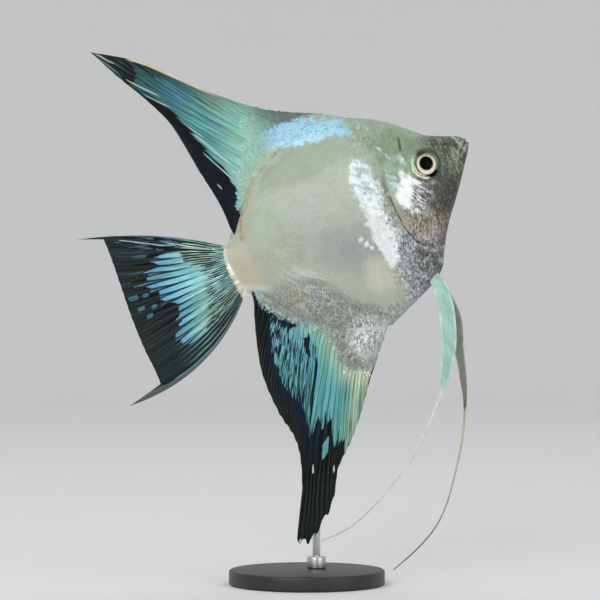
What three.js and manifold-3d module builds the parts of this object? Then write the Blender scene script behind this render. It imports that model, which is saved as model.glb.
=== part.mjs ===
// Freshwater angelfish (Pterophyllum scalare), an adult at life size, swimming nose-up, on a plain display stand.
//
// Millimetres, +Z up. The origin is the centre of the stand's underside. The fish is built in its own frame:
// +X towards the snout, +Y towards its left side, +Z towards its back. It is then pitched and lifted as one group.
import * as THREE from "three";
import { mergeVertices } from "three/addons/utils/BufferGeometryUtils.js";
import Module from "manifold-3d";

// ---------------------------------------------------------------- driving dimensions

const PITCH = THREE.MathUtils.degToRad(28); // nose above the level
const FISH_AT = { x: 7.7, z: 123.2 }; // the fish frame's origin, on the axis from snout to tail
const GAP = 0.3; // clearance between neighbouring solids
const SNOUT = 52; // tip of the lower jaw, along the fish's own +X
const TAIL_ROOT = -37.4; // where the peduncle ends

// Profiles of the body along its length. Each knot is [x, value].
const BACK = [
  [-38, 6.4], [-34.5, 6.9], [-31.5, 9.2], [-27.5, 13.6], [-21, 19.6], [-12, 24.9], [-2, 28.0], [8, 29.2],
  [15, 28.2], [20.3, 25.9], [27.7, 21.3], [33.4, 16.4], [37.1, 12.2], [40.5, 8.6], [44.7, 6.0], [49.8, 3.2],
  [51.4, 1.4], [SNOUT, -0.6],
];
const BELLY = [
  [-38, -9.4], [-34.8, -10.3], [-32, -13.2], [-29, -19.5], [-23, -28.2], [-14, -36], [-6, -40.2], [1, -41.7],
  [9, -39.8], [18, -36.9], [22.6, -34.9], [25.4, -32.6], [29, -27.2], [34.5, -20.3], [39.6, -15.2],
  [44.5, -9.9], [48.4, -5.4], [50.8, -2.6], [SNOUT, -0.6],
];
const HALF_WIDTH = [
  [-38, 1.7], [-33, 2.4], [-26, 4.0], [-16, 6.2], [-4, 8.2], [8, 9.3], [18, 9.5], [26, 8.9], [33, 7.6],
  [40, 5.9], [45, 4.5], [49, 3.0], [51.2, 1.6], [SNOUT, 0.3],
];
// 0.5 gives an elliptical section, and 1 a lens with a sharp keel and back.
const KEENNESS = [[-38, 0.6], [-30, 0.8], [-15, 0.95], [10, 0.88], [30, 0.7], [45, 0.58], [SNOUT, 0.5]];

// Median fins. base and margin knots are [u, x, z], with u from the first ray to the last. A knot given twice is a
// corner. bow bends the rays, and wave is how far the free edge swings out of the middle plane.
const DORSAL = {
  base: [[0, 20.3, 24.5], [0.1, 14.5, 27], [0.25, 5, 27.4], [0.45, -7.5, 25.2], [0.62, -17.5, 20.7],
    [0.8, -25.5, 14], [0.92, -29.6, 9.4], [1, -31.2, 7.6]],
  margin: [[0, 18.5, 27.2], [0.06, 12.5, 31.6], [0.12, 4.5, 36.4], [0.18, -4.3, 42.6], [0.25, -15, 53.6],
    [0.32, -24.5, 65.6], [0.38, -32.5, 75.3], [0.44, -45, 85.3], [0.44, -45, 85.3], [0.5, -41.2, 74.6],
    [0.58, -36.8, 64.5], [0.67, -33, 53], [0.74, -32.1, 44], [0.84, -31.6, 33], [0.93, -30.6, 21.5],
    [1, -31.3, 9.6]],
  bow: [[0, 0.04], [1, 0.04]],
  thick: [2.2, 0.55],
  wave: 1.2,
};
const CAUDAL = {
  base: [[0, -34.6, 6.2], [0.25, -36.4, 3.2], [0.5, -37.2, -1.6], [0.75, -37.2, -6.2], [1, -37.2, -10]],
  margin: [[0, -78.4, 32.4], [0.035, -70.4, 28.2], [0.035, -70.4, 28.2], [0.15, -71.2, 21], [0.3, -72.6, 12.5],
    [0.5, -74.6, 0.5], [0.7, -75.7, -10.5], [0.85, -75.8, -18], [0.955, -76.2, -23.3], [0.955, -76.2, -23.3],
    [1, -88.6, -24.9]],
  bow: [[0, -0.1], [0.12, 0], [0.7, 0.02], [0.9, 0.13], [1, 0.24]],
  thick: [2.4, 0.55],
  wave: -1.6,
};
const ANAL = {
  base: [[0, 1.5, -40.5], [0.2, -6, -39], [0.46, -15.5, -34], [0.68, -23.5, -26.5], [0.86, -29.5, -17.5],
    [1, -34.2, -9.6]],
  margin: [[0, -3.2, -43.4], [0.06, -9, -50], [0.12, -15, -55.8], [0.19, -22.2, -63.6], [0.26, -29.5, -70.2],
    [0.34, -37.6, -76.4], [0.4, -45, -86], [0.46, -57.2, -94], [0.46, -57.2, -94], [0.51, -61.2, -91.5],
    [0.51, -61.2, -91.5], [0.56, -54, -81.5], [0.61, -47.8, -69.5], [0.68, -45.4, -60.5], [0.77, -46.1, -50],
    [0.86, -44.8, -36], [0.94, -40.2, -22.8], [1, -35.4, -12.6]],
  bow: [[0, -0.03], [1, -0.03]],
  thick: [2.2, 0.55],
  wave: 1.0,
};

// Strands: knots [v, x, y, z, half width, half thickness] from root to tip.
const PELVIC_RIGHT = [
  [0, 21.2, -1.9, -34.5, 1.9, 0.6], [0.1, 20.9, -2.6, -38.3, 2.5, 0.45], [0.25, 19.4, -3.6, -45.4, 2.7, 0.4],
  [0.45, 16.3, -4.8, -52.8, 2.7, 0.35], [0.6, 13.7, -5.6, -57.6, 2.5, 0.35], [0.75, 10.6, -6.2, -62, 1.9, 0.33],
  [0.88, 7.3, -6.6, -66.2, 1.5, 0.33], [0.96, 4.9, -6.8, -69.1, 0.8, 0.33], [1, 3.5, -6.9, -70.6, 0.45, 0.33],
];
const FILAMENT_RIGHT = [
  [0, 3.3, -6.9, -70.8, 0.42, 0.36], [0.16, -3.4, -7.1, -76.3, 0.38, 0.34], [0.34, -13.4, -7.2, -83.5, 0.36, 0.34],
  [0.5, -23.3, -7, -88.4, 0.34, 0.32], [0.68, -33, -6.6, -92.2, 0.32, 0.3], [0.84, -43.5, -6, -94.6, 0.3, 0.28],
  [1, -53.3, -5.4, -94.2, 0.27, 0.27],
];
const PELVIC_LEFT = [
  [0, 21.2, 1.9, -35.3, 1.7, 0.6], [0.12, 21.2, 2.9, -40.9, 2.2, 0.45], [0.3, 20.7, 4.6, -48.9, 2.5, 0.4],
  [0.45, 19.2, 5.9, -54.4, 2.3, 0.35], [0.6, 17.4, 7.1, -59.5, 1.7, 0.35], [0.72, 15.5, 8, -65.3, 1.3, 0.33],
  [0.85, 13.4, 8.9, -70.9, 1.1, 0.33], [0.93, 11.6, 9.4, -75.2, 0.7, 0.33], [1, 9.5, 9.8, -79.4, 0.45, 0.33],
];
const FILAMENT_LEFT = [
  [0, 9.3, 9.8, -79.7, 0.42, 0.36], [0.14, 4.1, 10.2, -87.5, 0.38, 0.34], [0.3, -2, 10.6, -95, 0.36, 0.34],
  [0.5, -11, 11, -104.6, 0.34, 0.32], [0.66, -18.5, 11.2, -109.9, 0.32, 0.3], [0.83, -27, 11.3, -113.2, 0.3, 0.28],
  [1, -37, 11.2, -115.6, 0.27, 0.27],
];
const PECTORAL = [
  [0, 17.6, 9.0, -10.6, 1.5, 0.7], [0.2, 13.4, 10.6, -10.9, 2.9, 0.45], [0.45, 8.2, 12.4, -11.6, 4.4, 0.35],
  [0.7, 2.8, 14.2, -12.4, 4.4, 0.3], [0.9, -1.6, 15.6, -13.2, 2.6, 0.27], [1, -3.9, 16.3, -13.7, 0.6, 0.25],
];

// Outlines on the fish's flank, in x and z, of the pieces that are parted from the body.
const GILL_COVER = [
  [23.6, 9.8], [21.9, 3.5], [20.4, -4], [19.9, -12], [20.3, -18.5], [22.4, -23], [26.2, -23.6], [29.6, -19.5],
  [30.4, -12], [29.4, -4.5], [28, 3], [26.4, 8.6],
];
const HEAD_REGION = [
  [60, 40], [26.5, 40], [25, 22], [24, 12], [21.9, 3.5], [20.4, -4], [19.9, -12], [20.3, -18.5], [23, -23.5],
  [29, -27.5], [33, -34], [60, -34],
];
const UPPER_JAW = [[54, -0.35], [54, 4], [50.4, 5], [47.6, 1.6], [45.2, -2.4], [46.1, -3.3], [49, -1.6]];
const LOWER_JAW = [[54, -0.75], [49, -2.1], [46.1, -3.9], [44.6, -6], [46.3, -9.4], [54, -8]];
const GILL_COVER_INNER_Y = 4; // the covers are plates outside this distance from the middle plane
const PEDUNCLE_FROM = -29.4;

const EYE = { x: 36.1, y: 4.9, z: 0.1, radius: 6.2, depth: 3.0 }; // a lens-shaped globe, depth along Y

// Display stand.
const BASE = { radius: 26, height: 5, edge: 0.8, sides: 64 };
const ROD = { x: 3.2, y: 3.7, radius: 1.3, top: 110, sides: 20 };
const COLLAR = { outer: 3.2, height: 4, bore: 1.5 };

// How finely the solids are faceted.
const BODY_STATIONS = 28;
const BODY_SIDES = 28;
const FIN_ROWS = 6;

// ---------------------------------------------------------------- curves and lofts

// The value in column `col` of a knot table at x, along a smooth curve through the knots. A repeated knot is a corner.
function along(knots, x, col = 1) {
  let i = 0;
  while (i < knots.length - 2 && (x > knots[i + 1][0] || knots[i + 1][0] === knots[i][0])) i += 1;
  const [a, b] = [knots[i], knots[i + 1]];
  const before = knots[i - 1];
  const after = knots[i + 2];
  const span = b[0] - a[0];
  const t = THREE.MathUtils.clamp((x - a[0]) / span, 0, 1);
  const chord = (b[col] - a[col]) / span;
  const slopeIn = before && before[0] < a[0] ? (b[col] - before[col]) / (b[0] - before[0]) : chord;
  const slopeOut = after && after[0] > b[0] ? (after[col] - a[col]) / (after[0] - a[0]) : chord;
  const t2 = t * t;
  const t3 = t2 * t;
  return (
    (2 * t3 - 3 * t2 + 1) * a[col] + (t3 - 2 * t2 + t) * span * slopeIn +
    (3 * t2 - 2 * t3) * b[col] + (t3 - t2) * span * slopeOut
  );
}

// A closed surface through rings of equally many points. Each end is closed by rungs across its ring, which follow a
// long bent ring as well as a round one.
function loft(rings) {
  const sides = rings[0].length;
  const index = [];
  for (let r = 0; r < rings.length - 1; r += 1)
    for (let s = 0; s < sides; s += 1) {
      const here = r * sides + s;
      const next = r * sides + ((s + 1) % sides);
      index.push(here, next, next + sides, here, next + sides, here + sides);
    }
  const last = (rings.length - 1) * sides;
  for (let i = 0; i < sides / 2 - 1; i += 1) {
    const [a, b, c, d] = [i, i + 1, sides - 2 - i, sides - 1 - i];
    index.push(a, c, b, a, d, c);
    index.push(last + a, last + b, last + c, last + a, last + c, last + d);
  }
  const geometry = new THREE.BufferGeometry();
  const positions = rings.flat().flatMap((p) => [p.x, p.y, p.z]);
  geometry.setAttribute("position", new THREE.Float32BufferAttribute(positions, 3));
  geometry.setIndex(index);
  return geometry;
}

// One section of the body across its length, grown by `grow` all round.
function bodyRing(x, grow) {
  const top = along(BACK, x) + grow;
  const bottom = along(BELLY, x) - grow;
  const width = along(HALF_WIDTH, x) + grow;
  const keenness = along(KEENNESS, x);
  return Array.from({ length: BODY_SIDES }, (_, i) => {
    const angle = (2 * Math.PI * i) / BODY_SIDES;
    const c = Math.cos(angle);
    const y = Math.sign(c) * width * Math.abs(c) ** (2 * keenness);
    return new THREE.Vector3(x, y, (top + bottom) / 2 + ((top - bottom) / 2) * Math.sin(angle));
  });
}

// The whole body without fins. Stations crowd towards the snout, where the shape changes fastest.
function bodyGeometry(grow = 0) {
  const rings = [];
  for (let i = 0; i <= BODY_STATIONS; i += 1) {
    const s = i / BODY_STATIONS;
    const x = TAIL_ROOT + (SNOUT - 0.15 - TAIL_ROOT) * (1.35 * s - 0.35 * s * s);
    rings.push(bodyRing(x, grow));
  }
  rings[0].forEach((p) => (p.x -= grow));
  rings.at(-1).forEach((p) => (p.x += grow));
  return loft(rings);
}

// A point of a median fin's middle surface, with u across the rays and v along them.
function finPoint(fin, u, v) {
  const [bx, bz] = [along(fin.base, u, 1), along(fin.base, u, 2)];
  const [ex, ez] = [along(fin.margin, u, 1), along(fin.margin, u, 2)];
  const bow = along(fin.bow, u);
  const mx = (bx + ex) / 2 - bow * (ez - bz);
  const mz = (bz + ez) / 2 + bow * (ex - bx);
  const w = 1 - v;
  const y = fin.wave * v * v * Math.sin(2.2 * Math.PI * u + 0.6);
  return new THREE.Vector3(w * w * bx + 2 * v * w * mx + v * v * ex, y, w * w * bz + 2 * v * w * mz + v * v * ez);
}

// The part of a fin between two values of u, as a sheet that thins from its fleshy base to its margin.
function finGeometry(fin, u0, u1, columns) {
  const rings = [];
  for (let c = 0; c <= columns; c += 1) {
    const u = u0 + ((u1 - u0) * c) / columns;
    const near = [];
    const far = [];
    for (let r = 0; r <= FIN_ROWS; r += 1) {
      const v = r / FIN_ROWS;
      const p = finPoint(fin, u, v);
      const half = (fin.thick[1] + (fin.thick[0] - fin.thick[1]) * Math.max(0, 1 - v / 0.45) ** 1.5) / 2;
      near.push(p.clone().add({ x: 0, y: -half, z: 0 }));
      far.push(p.clone().add({ x: 0, y: half, z: 0 }));
    }
    rings.push([...near, ...far.reverse()]);
  }
  return loft(rings);
}

// A ribbon or thread along its knots, or between two values of v, with an oval section of six sides.
function strandGeometry(knots, steps, side = 1, v0 = 0, v1 = 1) {
  const sides = 6;
  const point = (v) => new THREE.Vector3(along(knots, v, 1), side * along(knots, v, 2), along(knots, v, 3));
  const rings = [];
  for (let i = 0; i <= steps; i += 1) {
    const v = v0 + ((v1 - v0) * i) / steps;
    const tangent = point(Math.min(1, v + 0.01)).sub(point(Math.max(0, v - 0.01))).normalize();
    const across = new THREE.Vector3(0, 1, 0).cross(tangent).normalize();
    const through = new THREE.Vector3().crossVectors(tangent, across);
    rings.push(
      Array.from({ length: sides }, (_, k) => {
        const angle = (2 * Math.PI * (k + 0.5)) / sides;
        return point(v)
          .addScaledVector(across, Math.cos(angle) * along(knots, v, 4))
          .addScaledVector(through, Math.sin(angle) * along(knots, v, 5));
      }),
    );
  }
  return loft(rings);
}

// ---------------------------------------------------------------- solids

const wasm = await Module();
wasm.setup();

function solid(geometry) {
  const bare = geometry.clone();
  bare.deleteAttribute("normal");
  bare.deleteAttribute("uv");
  const merged = mergeVertices(bare, 1e-4);
  const made = new wasm.Manifold(
    new wasm.Mesh({
      numProp: 3,
      vertProperties: merged.attributes.position.array,
      triVerts: new Uint32Array(merged.index.array),
    }),
  );
  if (made.volume() > 0) return made;
  const index = Array.from(merged.index.array);
  for (let i = 0; i < index.length; i += 3) [index[i + 1], index[i + 2]] = [index[i + 2], index[i + 1]];
  merged.setIndex(index);
  return solid(merged);
}

// The largest single body of a result, which drops any sliver that a cut leaves.
function largest(shape) {
  return shape.decompose().reduce((best, body) => (body.volume() > best.volume() ? body : best));
}

function geometryOf(shape) {
  const mesh = shape.getMesh();
  const geometry = new THREE.BufferGeometry();
  geometry.setAttribute("position", new THREE.BufferAttribute(mesh.vertProperties, 3));
  geometry.setIndex(new THREE.BufferAttribute(mesh.triVerts, 1));
  geometry.computeVertexNormals();
  return geometry;
}

// An outline in x and z moved outwards by `by`. Its points run the same way round as given.
function grown(outline, by) {
  const turn = THREE.ShapeUtils.isClockWise(outline.map(([x, z]) => new THREE.Vector2(x, z))) ? -1 : 1;
  return outline.map(([x, z], i) => {
    const before = outline.at(i - 1);
    const after = outline[(i + 1) % outline.length];
    const along2 = new THREE.Vector2(after[0] - before[0], after[1] - before[1]).normalize();
    return [x + turn * by * along2.y, z - turn * by * along2.x];
  });
}

// A prism over an outline in x and z, between two distances from the middle plane.
function prism(outline, fromY, toY) {
  const shape = new THREE.Shape(outline.map(([x, z]) => new THREE.Vector2(x, z)));
  const geometry = new THREE.ExtrudeGeometry(shape, { depth: toY - fromY, bevelEnabled: false, steps: 1 });
  geometry.rotateX(Math.PI / 2);
  geometry.translate(0, toY, 0);
  return solid(geometry);
}

function eyeGeometry(side, grow = 0) {
  const geometry = new THREE.SphereGeometry(1, 20, 12);
  geometry.scale(EYE.radius + grow, EYE.depth + grow, EYE.radius + grow);
  geometry.translate(EYE.x, side * EYE.y, EYE.z);
  return geometry;
}

// ---------------------------------------------------------------- materials

const material = (color, roughness, metalness = 0) =>
  new THREE.MeshStandardMaterial({ color, roughness, metalness, side: THREE.DoubleSide });
const HEAD_SKIN = material(0x7f8a72, 0.4, 0.2);
const SILVER_SKIN = material(0xb9bcb8, 0.3, 0.4);
const FLANK_SKIN = material(0xaeb0a3, 0.35, 0.1);
const PEACH_SKIN = material(0xc5b79f, 0.35, 0.1);
const FIN_BLUE = material(0x6fb3b8, 0.3, 0.3);
const FIN_PALE = material(0xa9cfc4, 0.35, 0.1);
const FIN_CLEAR = material(0xb8bdb8, 0.3);
const EYE_BLACK = material(0x0a0a0c, 0.1);
const STAND_BLACK = material(0x1c1c1e, 0.45);
const STAND_STEEL = material(0xb4b6b8, 0.3, 0.9);

// ---------------------------------------------------------------- the fish

const WIDE = 25; // further out than any flank

function bodyPieces() {
  const body = solid(bodyGeometry());
  const headRegion = prism(HEAD_REGION, -WIDE, WIDE);
  const covers = [-1, 1].map((side) => ({
    side,
    plug: side < 0 ? prism(GILL_COVER, -WIDE, -GILL_COVER_INNER_Y) : prism(GILL_COVER, GILL_COVER_INNER_Y, WIDE),
    seat:
      side < 0
        ? prism(grown(GILL_COVER, GAP), -WIDE, -GILL_COVER_INNER_Y + GAP)
        : prism(grown(GILL_COVER, GAP), GILL_COVER_INNER_Y - GAP, WIDE),
  }));
  const upperJaw = prism(UPPER_JAW, -WIDE, WIDE);
  const lowerJaw = prism(LOWER_JAW, -WIDE, WIDE);

  let head = body.intersect(headRegion);
  let trunk = body.subtract(prism(grown(HEAD_REGION, GAP), -WIDE, WIDE));
  for (const { seat } of covers) {
    head = head.subtract(seat);
    trunk = trunk.subtract(seat);
  }
  for (const side of [-1, 1]) head = head.subtract(solid(eyeGeometry(side, GAP)));
  head = head.subtract(prism(grown(UPPER_JAW, GAP), -WIDE, WIDE)).subtract(prism(grown(LOWER_JAW, GAP), -WIDE, WIDE));

  const tailSide = [[-60, -60], [PEDUNCLE_FROM, -60], [PEDUNCLE_FROM, 60], [-60, 60]];
  return [
    ["head", head, HEAD_SKIN],
    ["upper_jaw", body.intersect(upperJaw), HEAD_SKIN],
    ["lower_jaw", body.intersect(lowerJaw), HEAD_SKIN],
    ["gill_cover_right", body.intersect(covers[0].plug), SILVER_SKIN],
    ["gill_cover_left", body.intersect(covers[1].plug), SILVER_SKIN],
    ["trunk", trunk.subtract(prism(grown(tailSide, GAP), -WIDE, WIDE)), FLANK_SKIN],
    ["caudal_peduncle", trunk.intersect(prism(tailSide, -WIDE, WIDE)), PEACH_SKIN],
  ];
}

// Each median fin is parted where its character changes: spines, the long rays of the trailing tip, and rear rays.
function finPieces() {
  const clearance = solid(bodyGeometry(GAP));
  const cut = (name, fin, u0, u1, columns) => [
    name,
    solid(finGeometry(fin, u0, u1, columns)).subtract(clearance),
    FIN_BLUE,
  ];
  return [
    cut("dorsal_fin_spines", DORSAL, 0, 0.3, 6),
    cut("dorsal_fin_long_rays", DORSAL, 0.31, 0.56, 7),
    cut("dorsal_fin_rear_rays", DORSAL, 0.57, 1, 6),
    cut("anal_fin_spines", ANAL, 0, 0.19, 4),
    cut("anal_fin_front_rays", ANAL, 0.2, 0.39, 4),
    cut("anal_fin_long_rays", ANAL, 0.4, 0.6, 8),
    cut("anal_fin_rear_rays", ANAL, 0.61, 1, 6),
    cut("caudal_fin_upper_ray", CAUDAL, 0, 0.08, 2),
    cut("caudal_fin_web", CAUDAL, 0.1, 0.9, 9),
    cut("caudal_fin_lower_ray", CAUDAL, 0.92, 1, 2),
  ];
}

// Each pelvic fin is a narrow blade whose first rays run on as a long thread, which is parted halfway down.
function strandPieces() {
  const clearance = solid(bodyGeometry(GAP));
  const rooted = (name, knots, steps, skin, side = 1) => [
    name,
    solid(strandGeometry(knots, steps, side)).subtract(clearance),
    skin,
  ];
  const thread = (name, knots, v0, v1) => [name, solid(strandGeometry(knots, 7, 1, v0, v1)), FIN_PALE];
  return [
    rooted("pelvic_fin_right", PELVIC_RIGHT, 12, FIN_PALE),
    thread("pelvic_filament_right_upper", FILAMENT_RIGHT, 0, 0.497),
    thread("pelvic_filament_right_lower", FILAMENT_RIGHT, 0.503, 1),
    rooted("pelvic_fin_left", PELVIC_LEFT, 12, FIN_PALE),
    thread("pelvic_filament_left_upper", FILAMENT_LEFT, 0, 0.497),
    thread("pelvic_filament_left_lower", FILAMENT_LEFT, 0.503, 1),
    rooted("pectoral_fin_right", PECTORAL, 10, FIN_CLEAR, -1),
    rooted("pectoral_fin_left", PECTORAL, 10, FIN_CLEAR),
  ];
}

const fish = new THREE.Group();
fish.rotation.y = -PITCH;
fish.position.set(FISH_AT.x, 0, FISH_AT.z);
for (const [name, shape, skin] of [...bodyPieces(), ...finPieces(), ...strandPieces()]) {
  const mesh = new THREE.Mesh(geometryOf(largest(shape)), skin);
  mesh.name = name;
  fish.add(mesh);
}
for (const [name, side] of [["eye_right", -1], ["eye_left", 1]]) {
  const mesh = new THREE.Mesh(eyeGeometry(side), EYE_BLACK);
  mesh.name = name;
  fish.add(mesh);
}
fish.updateMatrix();

// ---------------------------------------------------------------- the stand

function baseMesh() {
  const { radius, height, edge, sides } = BASE;
  const outline = [
    [0, 0], [radius - edge / 2, 0], [radius, edge / 2], [radius, height - edge], [radius - edge, height], [0, height],
  ].map(([r, z]) => new THREE.Vector2(r, z));
  const geometry = new THREE.LatheGeometry(outline, sides);
  geometry.rotateX(Math.PI / 2);
  return new THREE.Mesh(geometry, STAND_BLACK);
}

function collarMesh() {
  const { outer, height, bore } = COLLAR;
  const outline = [[bore, 0], [outer, 0], [outer, height - 0.6], [outer - 0.6, height], [bore, height], [bore, 0]];
  const geometry = new THREE.LatheGeometry(outline.map(([r, z]) => new THREE.Vector2(r, z)), 32);
  geometry.rotateX(Math.PI / 2);
  const mesh = new THREE.Mesh(geometry, STAND_STEEL);
  mesh.position.set(ROD.x, ROD.y, BASE.height);
  return mesh;
}

// The rod stands behind the anal fin and runs up into the flank, which it is cut to.
function rodMesh() {
  const length = ROD.top - BASE.height;
  const geometry = new THREE.CylinderGeometry(ROD.radius, ROD.radius, length, ROD.sides);
  geometry.rotateX(Math.PI / 2);
  geometry.translate(ROD.x, ROD.y, BASE.height + length / 2);
  const clearance = solid(bodyGeometry(GAP).applyMatrix4(fish.matrix));
  return new THREE.Mesh(geometryOf(largest(solid(geometry).subtract(clearance))), STAND_STEEL);
}

const stand = new THREE.Group();
for (const [name, mesh] of [
  ["stand_base", baseMesh()],
  ["stand_collar", collarMesh()],
  ["stand_rod", rodMesh()],
]) {
  mesh.name = name;
  stand.add(mesh);
}

const model = new THREE.Group();
model.add(fish, stand);
export default model;
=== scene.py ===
"""A still, life-size freshwater angelfish on a plain display stand.

The fish is built in its own frame, in millimetres: +a runs from the tail to the snout, +b from the belly to
the back and y to the fish's left. FISH turns that frame into the model's own, in metres. On a fin, u runs
across the rays from the front and v from root to margin, both from 0 to 1.
"""

import logging
import math
from collections.abc import Callable, Sequence
from dataclasses import dataclass, field
from enum import Enum
from functools import partial

import bpy
import numpy as np
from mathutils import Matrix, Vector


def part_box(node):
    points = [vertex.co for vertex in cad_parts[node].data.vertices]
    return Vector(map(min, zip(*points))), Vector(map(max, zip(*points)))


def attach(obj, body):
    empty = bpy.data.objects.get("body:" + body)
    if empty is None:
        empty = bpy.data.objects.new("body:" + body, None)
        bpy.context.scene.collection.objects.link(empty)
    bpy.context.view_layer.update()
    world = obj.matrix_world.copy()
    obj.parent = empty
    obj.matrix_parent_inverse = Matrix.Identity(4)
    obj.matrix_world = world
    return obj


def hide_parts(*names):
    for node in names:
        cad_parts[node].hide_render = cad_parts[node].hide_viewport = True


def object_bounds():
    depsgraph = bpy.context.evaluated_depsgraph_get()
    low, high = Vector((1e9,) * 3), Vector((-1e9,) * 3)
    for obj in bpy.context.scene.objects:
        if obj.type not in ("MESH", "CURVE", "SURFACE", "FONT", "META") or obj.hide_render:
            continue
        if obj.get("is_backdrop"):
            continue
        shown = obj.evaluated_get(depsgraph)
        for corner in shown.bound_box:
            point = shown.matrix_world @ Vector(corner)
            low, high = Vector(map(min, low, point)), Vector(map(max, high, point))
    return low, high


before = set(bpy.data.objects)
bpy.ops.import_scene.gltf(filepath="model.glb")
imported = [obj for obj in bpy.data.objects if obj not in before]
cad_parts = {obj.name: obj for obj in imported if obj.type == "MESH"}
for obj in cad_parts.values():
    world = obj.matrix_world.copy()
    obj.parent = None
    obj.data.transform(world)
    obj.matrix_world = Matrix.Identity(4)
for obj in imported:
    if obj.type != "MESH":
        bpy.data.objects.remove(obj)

LOG = logging.getLogger("angelfish")
MM = 0.001
Array = np.ndarray
Numbers = Array | float
Colour = tuple[float, float, float]
Spot = tuple[float, float]
Paints = tuple[Array, Array, Array, Array]
Object, Material = bpy.types.Object, bpy.types.Material


# ---- numbers and curves


def paint(red: int, green: int, blue: int) -> Colour:
    """A pigment, given as it looks in ordinary 0 to 255 steps, as linear light."""
    steps = [value / 255 for value in (red, green, blue)]
    return tuple(s / 12.92 if s <= 0.04045 else ((s + 0.055) / 1.055) ** 2.4 for s in steps)


def smooth(x: Array, low: float, high: float) -> Array:
    """0 at low, 1 at high and an even slope between."""
    t = np.clip((np.asarray(x, float) - low) / (high - low), 0, 1)
    return t * t * (3 - 2 * t)


def fade(x: Array, low: float, high: float) -> Array:
    """1 at low, 0 at high and an even slope between."""
    return 1 - smooth(x, low, high)


def bump(x: Array, centre: float, width: float) -> Array:
    """A bell of height 1 at centre."""
    return np.exp(-(((np.asarray(x, float) - centre) / width) ** 2))


def facing(angle: Array, degrees: float, width: float) -> Array:
    """1 where an angle points that way, fading out over width degrees to either side."""
    off = (np.degrees(angle) - degrees + 180) % 360 - 180
    return np.exp(-((off / width) ** 2))


@dataclass(frozen=True)
class Curve:
    """A smooth curve through knots, each a number and the values that go with it.

    A knot given twice is a corner.
    """

    knots: tuple[tuple[float, ...], ...]

    def at(self, x: Numbers, column: int = 1) -> Array:
        """The value at x.

        Args:
            x: where on the curve, one or many.
            column: which of the knots' values.

        Returns:
            The values, one for each x.
        """
        table = np.array(self.knots, float)
        keys, values = table[:, 0], table[:, column]
        x = np.clip(np.asarray(x, float), keys[0], keys[-1])
        i = np.clip(np.searchsorted(keys, x, side="right") - 1, 0, len(keys) - 2)
        before, after = np.maximum(i - 1, 0), np.minimum(i + 2, len(keys) - 1)
        span = np.maximum(keys[i + 1] - keys[i], 1e-9)
        t = (x - keys[i]) / span
        chord = (values[i + 1] - values[i]) / span
        with np.errstate(divide="ignore", invalid="ignore"):
            in_slope = (values[i + 1] - values[before]) / (keys[i + 1] - keys[before])
            out_slope = (values[after] - values[i]) / (keys[after] - keys[i])
        m0 = np.where((i > 0) & (keys[before] < keys[i]), in_slope, chord)
        m1 = np.where((i < len(keys) - 2) & (keys[after] > keys[i + 1]), out_slope, chord)
        t2, t3 = t * t, t**3
        return (
            (2 * t3 - 3 * t2 + 1) * values[i]
            + (t3 - 2 * t2 + t) * span * m0
            + (3 * t2 - 2 * t3) * values[i + 1]
            + (t3 - t2) * span * m1
        )


@dataclass(frozen=True)
class Line:
    """A bent line on the flank, as (a, b) points in order."""

    points: tuple[Spot, ...]

    def near(self, a: Array, b: Array) -> tuple[Array, Array, Array]:
        """How places on the flank lie to the line.

        Args:
            a: the places along the fish.
            b: their heights.

        Returns:
            The distance, the distance with its sign, which is positive to the left of the line's run, and
            the share of the line's length that is passed at the nearest point.
        """
        a, b = np.broadcast_arrays(np.asarray(a, float), np.asarray(b, float))
        best = np.full(a.shape, 1e9)
        sign, along = np.ones(a.shape), np.zeros(a.shape)
        lengths = [math.dist(p, q) for p, q in zip(self.points, self.points[1:])]
        total, passed = sum(lengths), 0.0
        for (pa, pb), (qa, qb), length in zip(self.points, self.points[1:], lengths):
            ua, ub = (qa - pa) / length, (qb - pb) / length
            run = np.clip((a - pa) * ua + (b - pb) * ub, 0, length)
            off_a, off_b = a - pa - run * ua, b - pb - run * ub
            gap = np.hypot(off_a, off_b)
            nearer = gap < best
            best = np.where(nearer, gap, best)
            side = ua * (b - pb) - ub * (a - pa)
            sign = np.where(nearer, np.where(side >= 0, 1.0, -1.0), sign)
            along = np.where(nearer, (passed + run) / total, along)
            passed += length
        return best, best * sign, along

    def band(self, a: Array, b: Array, width: float, soft: float = 0.5) -> Array:
        """1 on the line, fading to 0 at width to either side, over the outer share soft of it."""
        return 1 - smooth(self.near(a, b)[0], width * (1 - soft), width)


def blob(a: Array, b: Array, centre: Spot, size: Spot, turn: float = 0.0) -> Array:
    """A soft oval patch.

    Args:
        a: places along the fish.
        b: their heights.
        centre: the middle of the patch.
        size: half its length and half its width.
        turn: how far its length is turned anticlockwise, in degrees.

    Returns:
        1 inside, 0 beyond its size and a soft edge between.
    """
    c, s = math.cos(math.radians(turn)), math.sin(math.radians(turn))
    da, db = a - centre[0], b - centre[1]
    r = np.hypot((da * c + db * s) / size[0], (-da * s + db * c) / size[1])
    return 1 - smooth(r, 0.45, 1.0)


@dataclass(frozen=True)
class Facet:
    """A patch with straight sides, its corners in anticlockwise order."""

    corners: tuple[Spot, ...]

    def share(self, a: Array, b: Array, soft: float) -> Array:
        """How much of the patch lies at each place.

        Args:
            a: the places along the fish.
            b: their heights.
            soft: the width of its edge, in millimetres.

        Returns:
            1 inside and 0 outside.
        """
        inside = np.full(np.shape(a), 1e9)
        for (pa, pb), (qa, qb) in zip(self.corners, self.corners[1:] + self.corners[:1]):
            length = math.hypot(qa - pa, qb - pb)
            inside = np.minimum(inside, ((qa - pa) * (b - pb) - (qb - pb) * (a - pa)) / length)
        return smooth(inside, -soft / 2, soft / 2)


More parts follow.
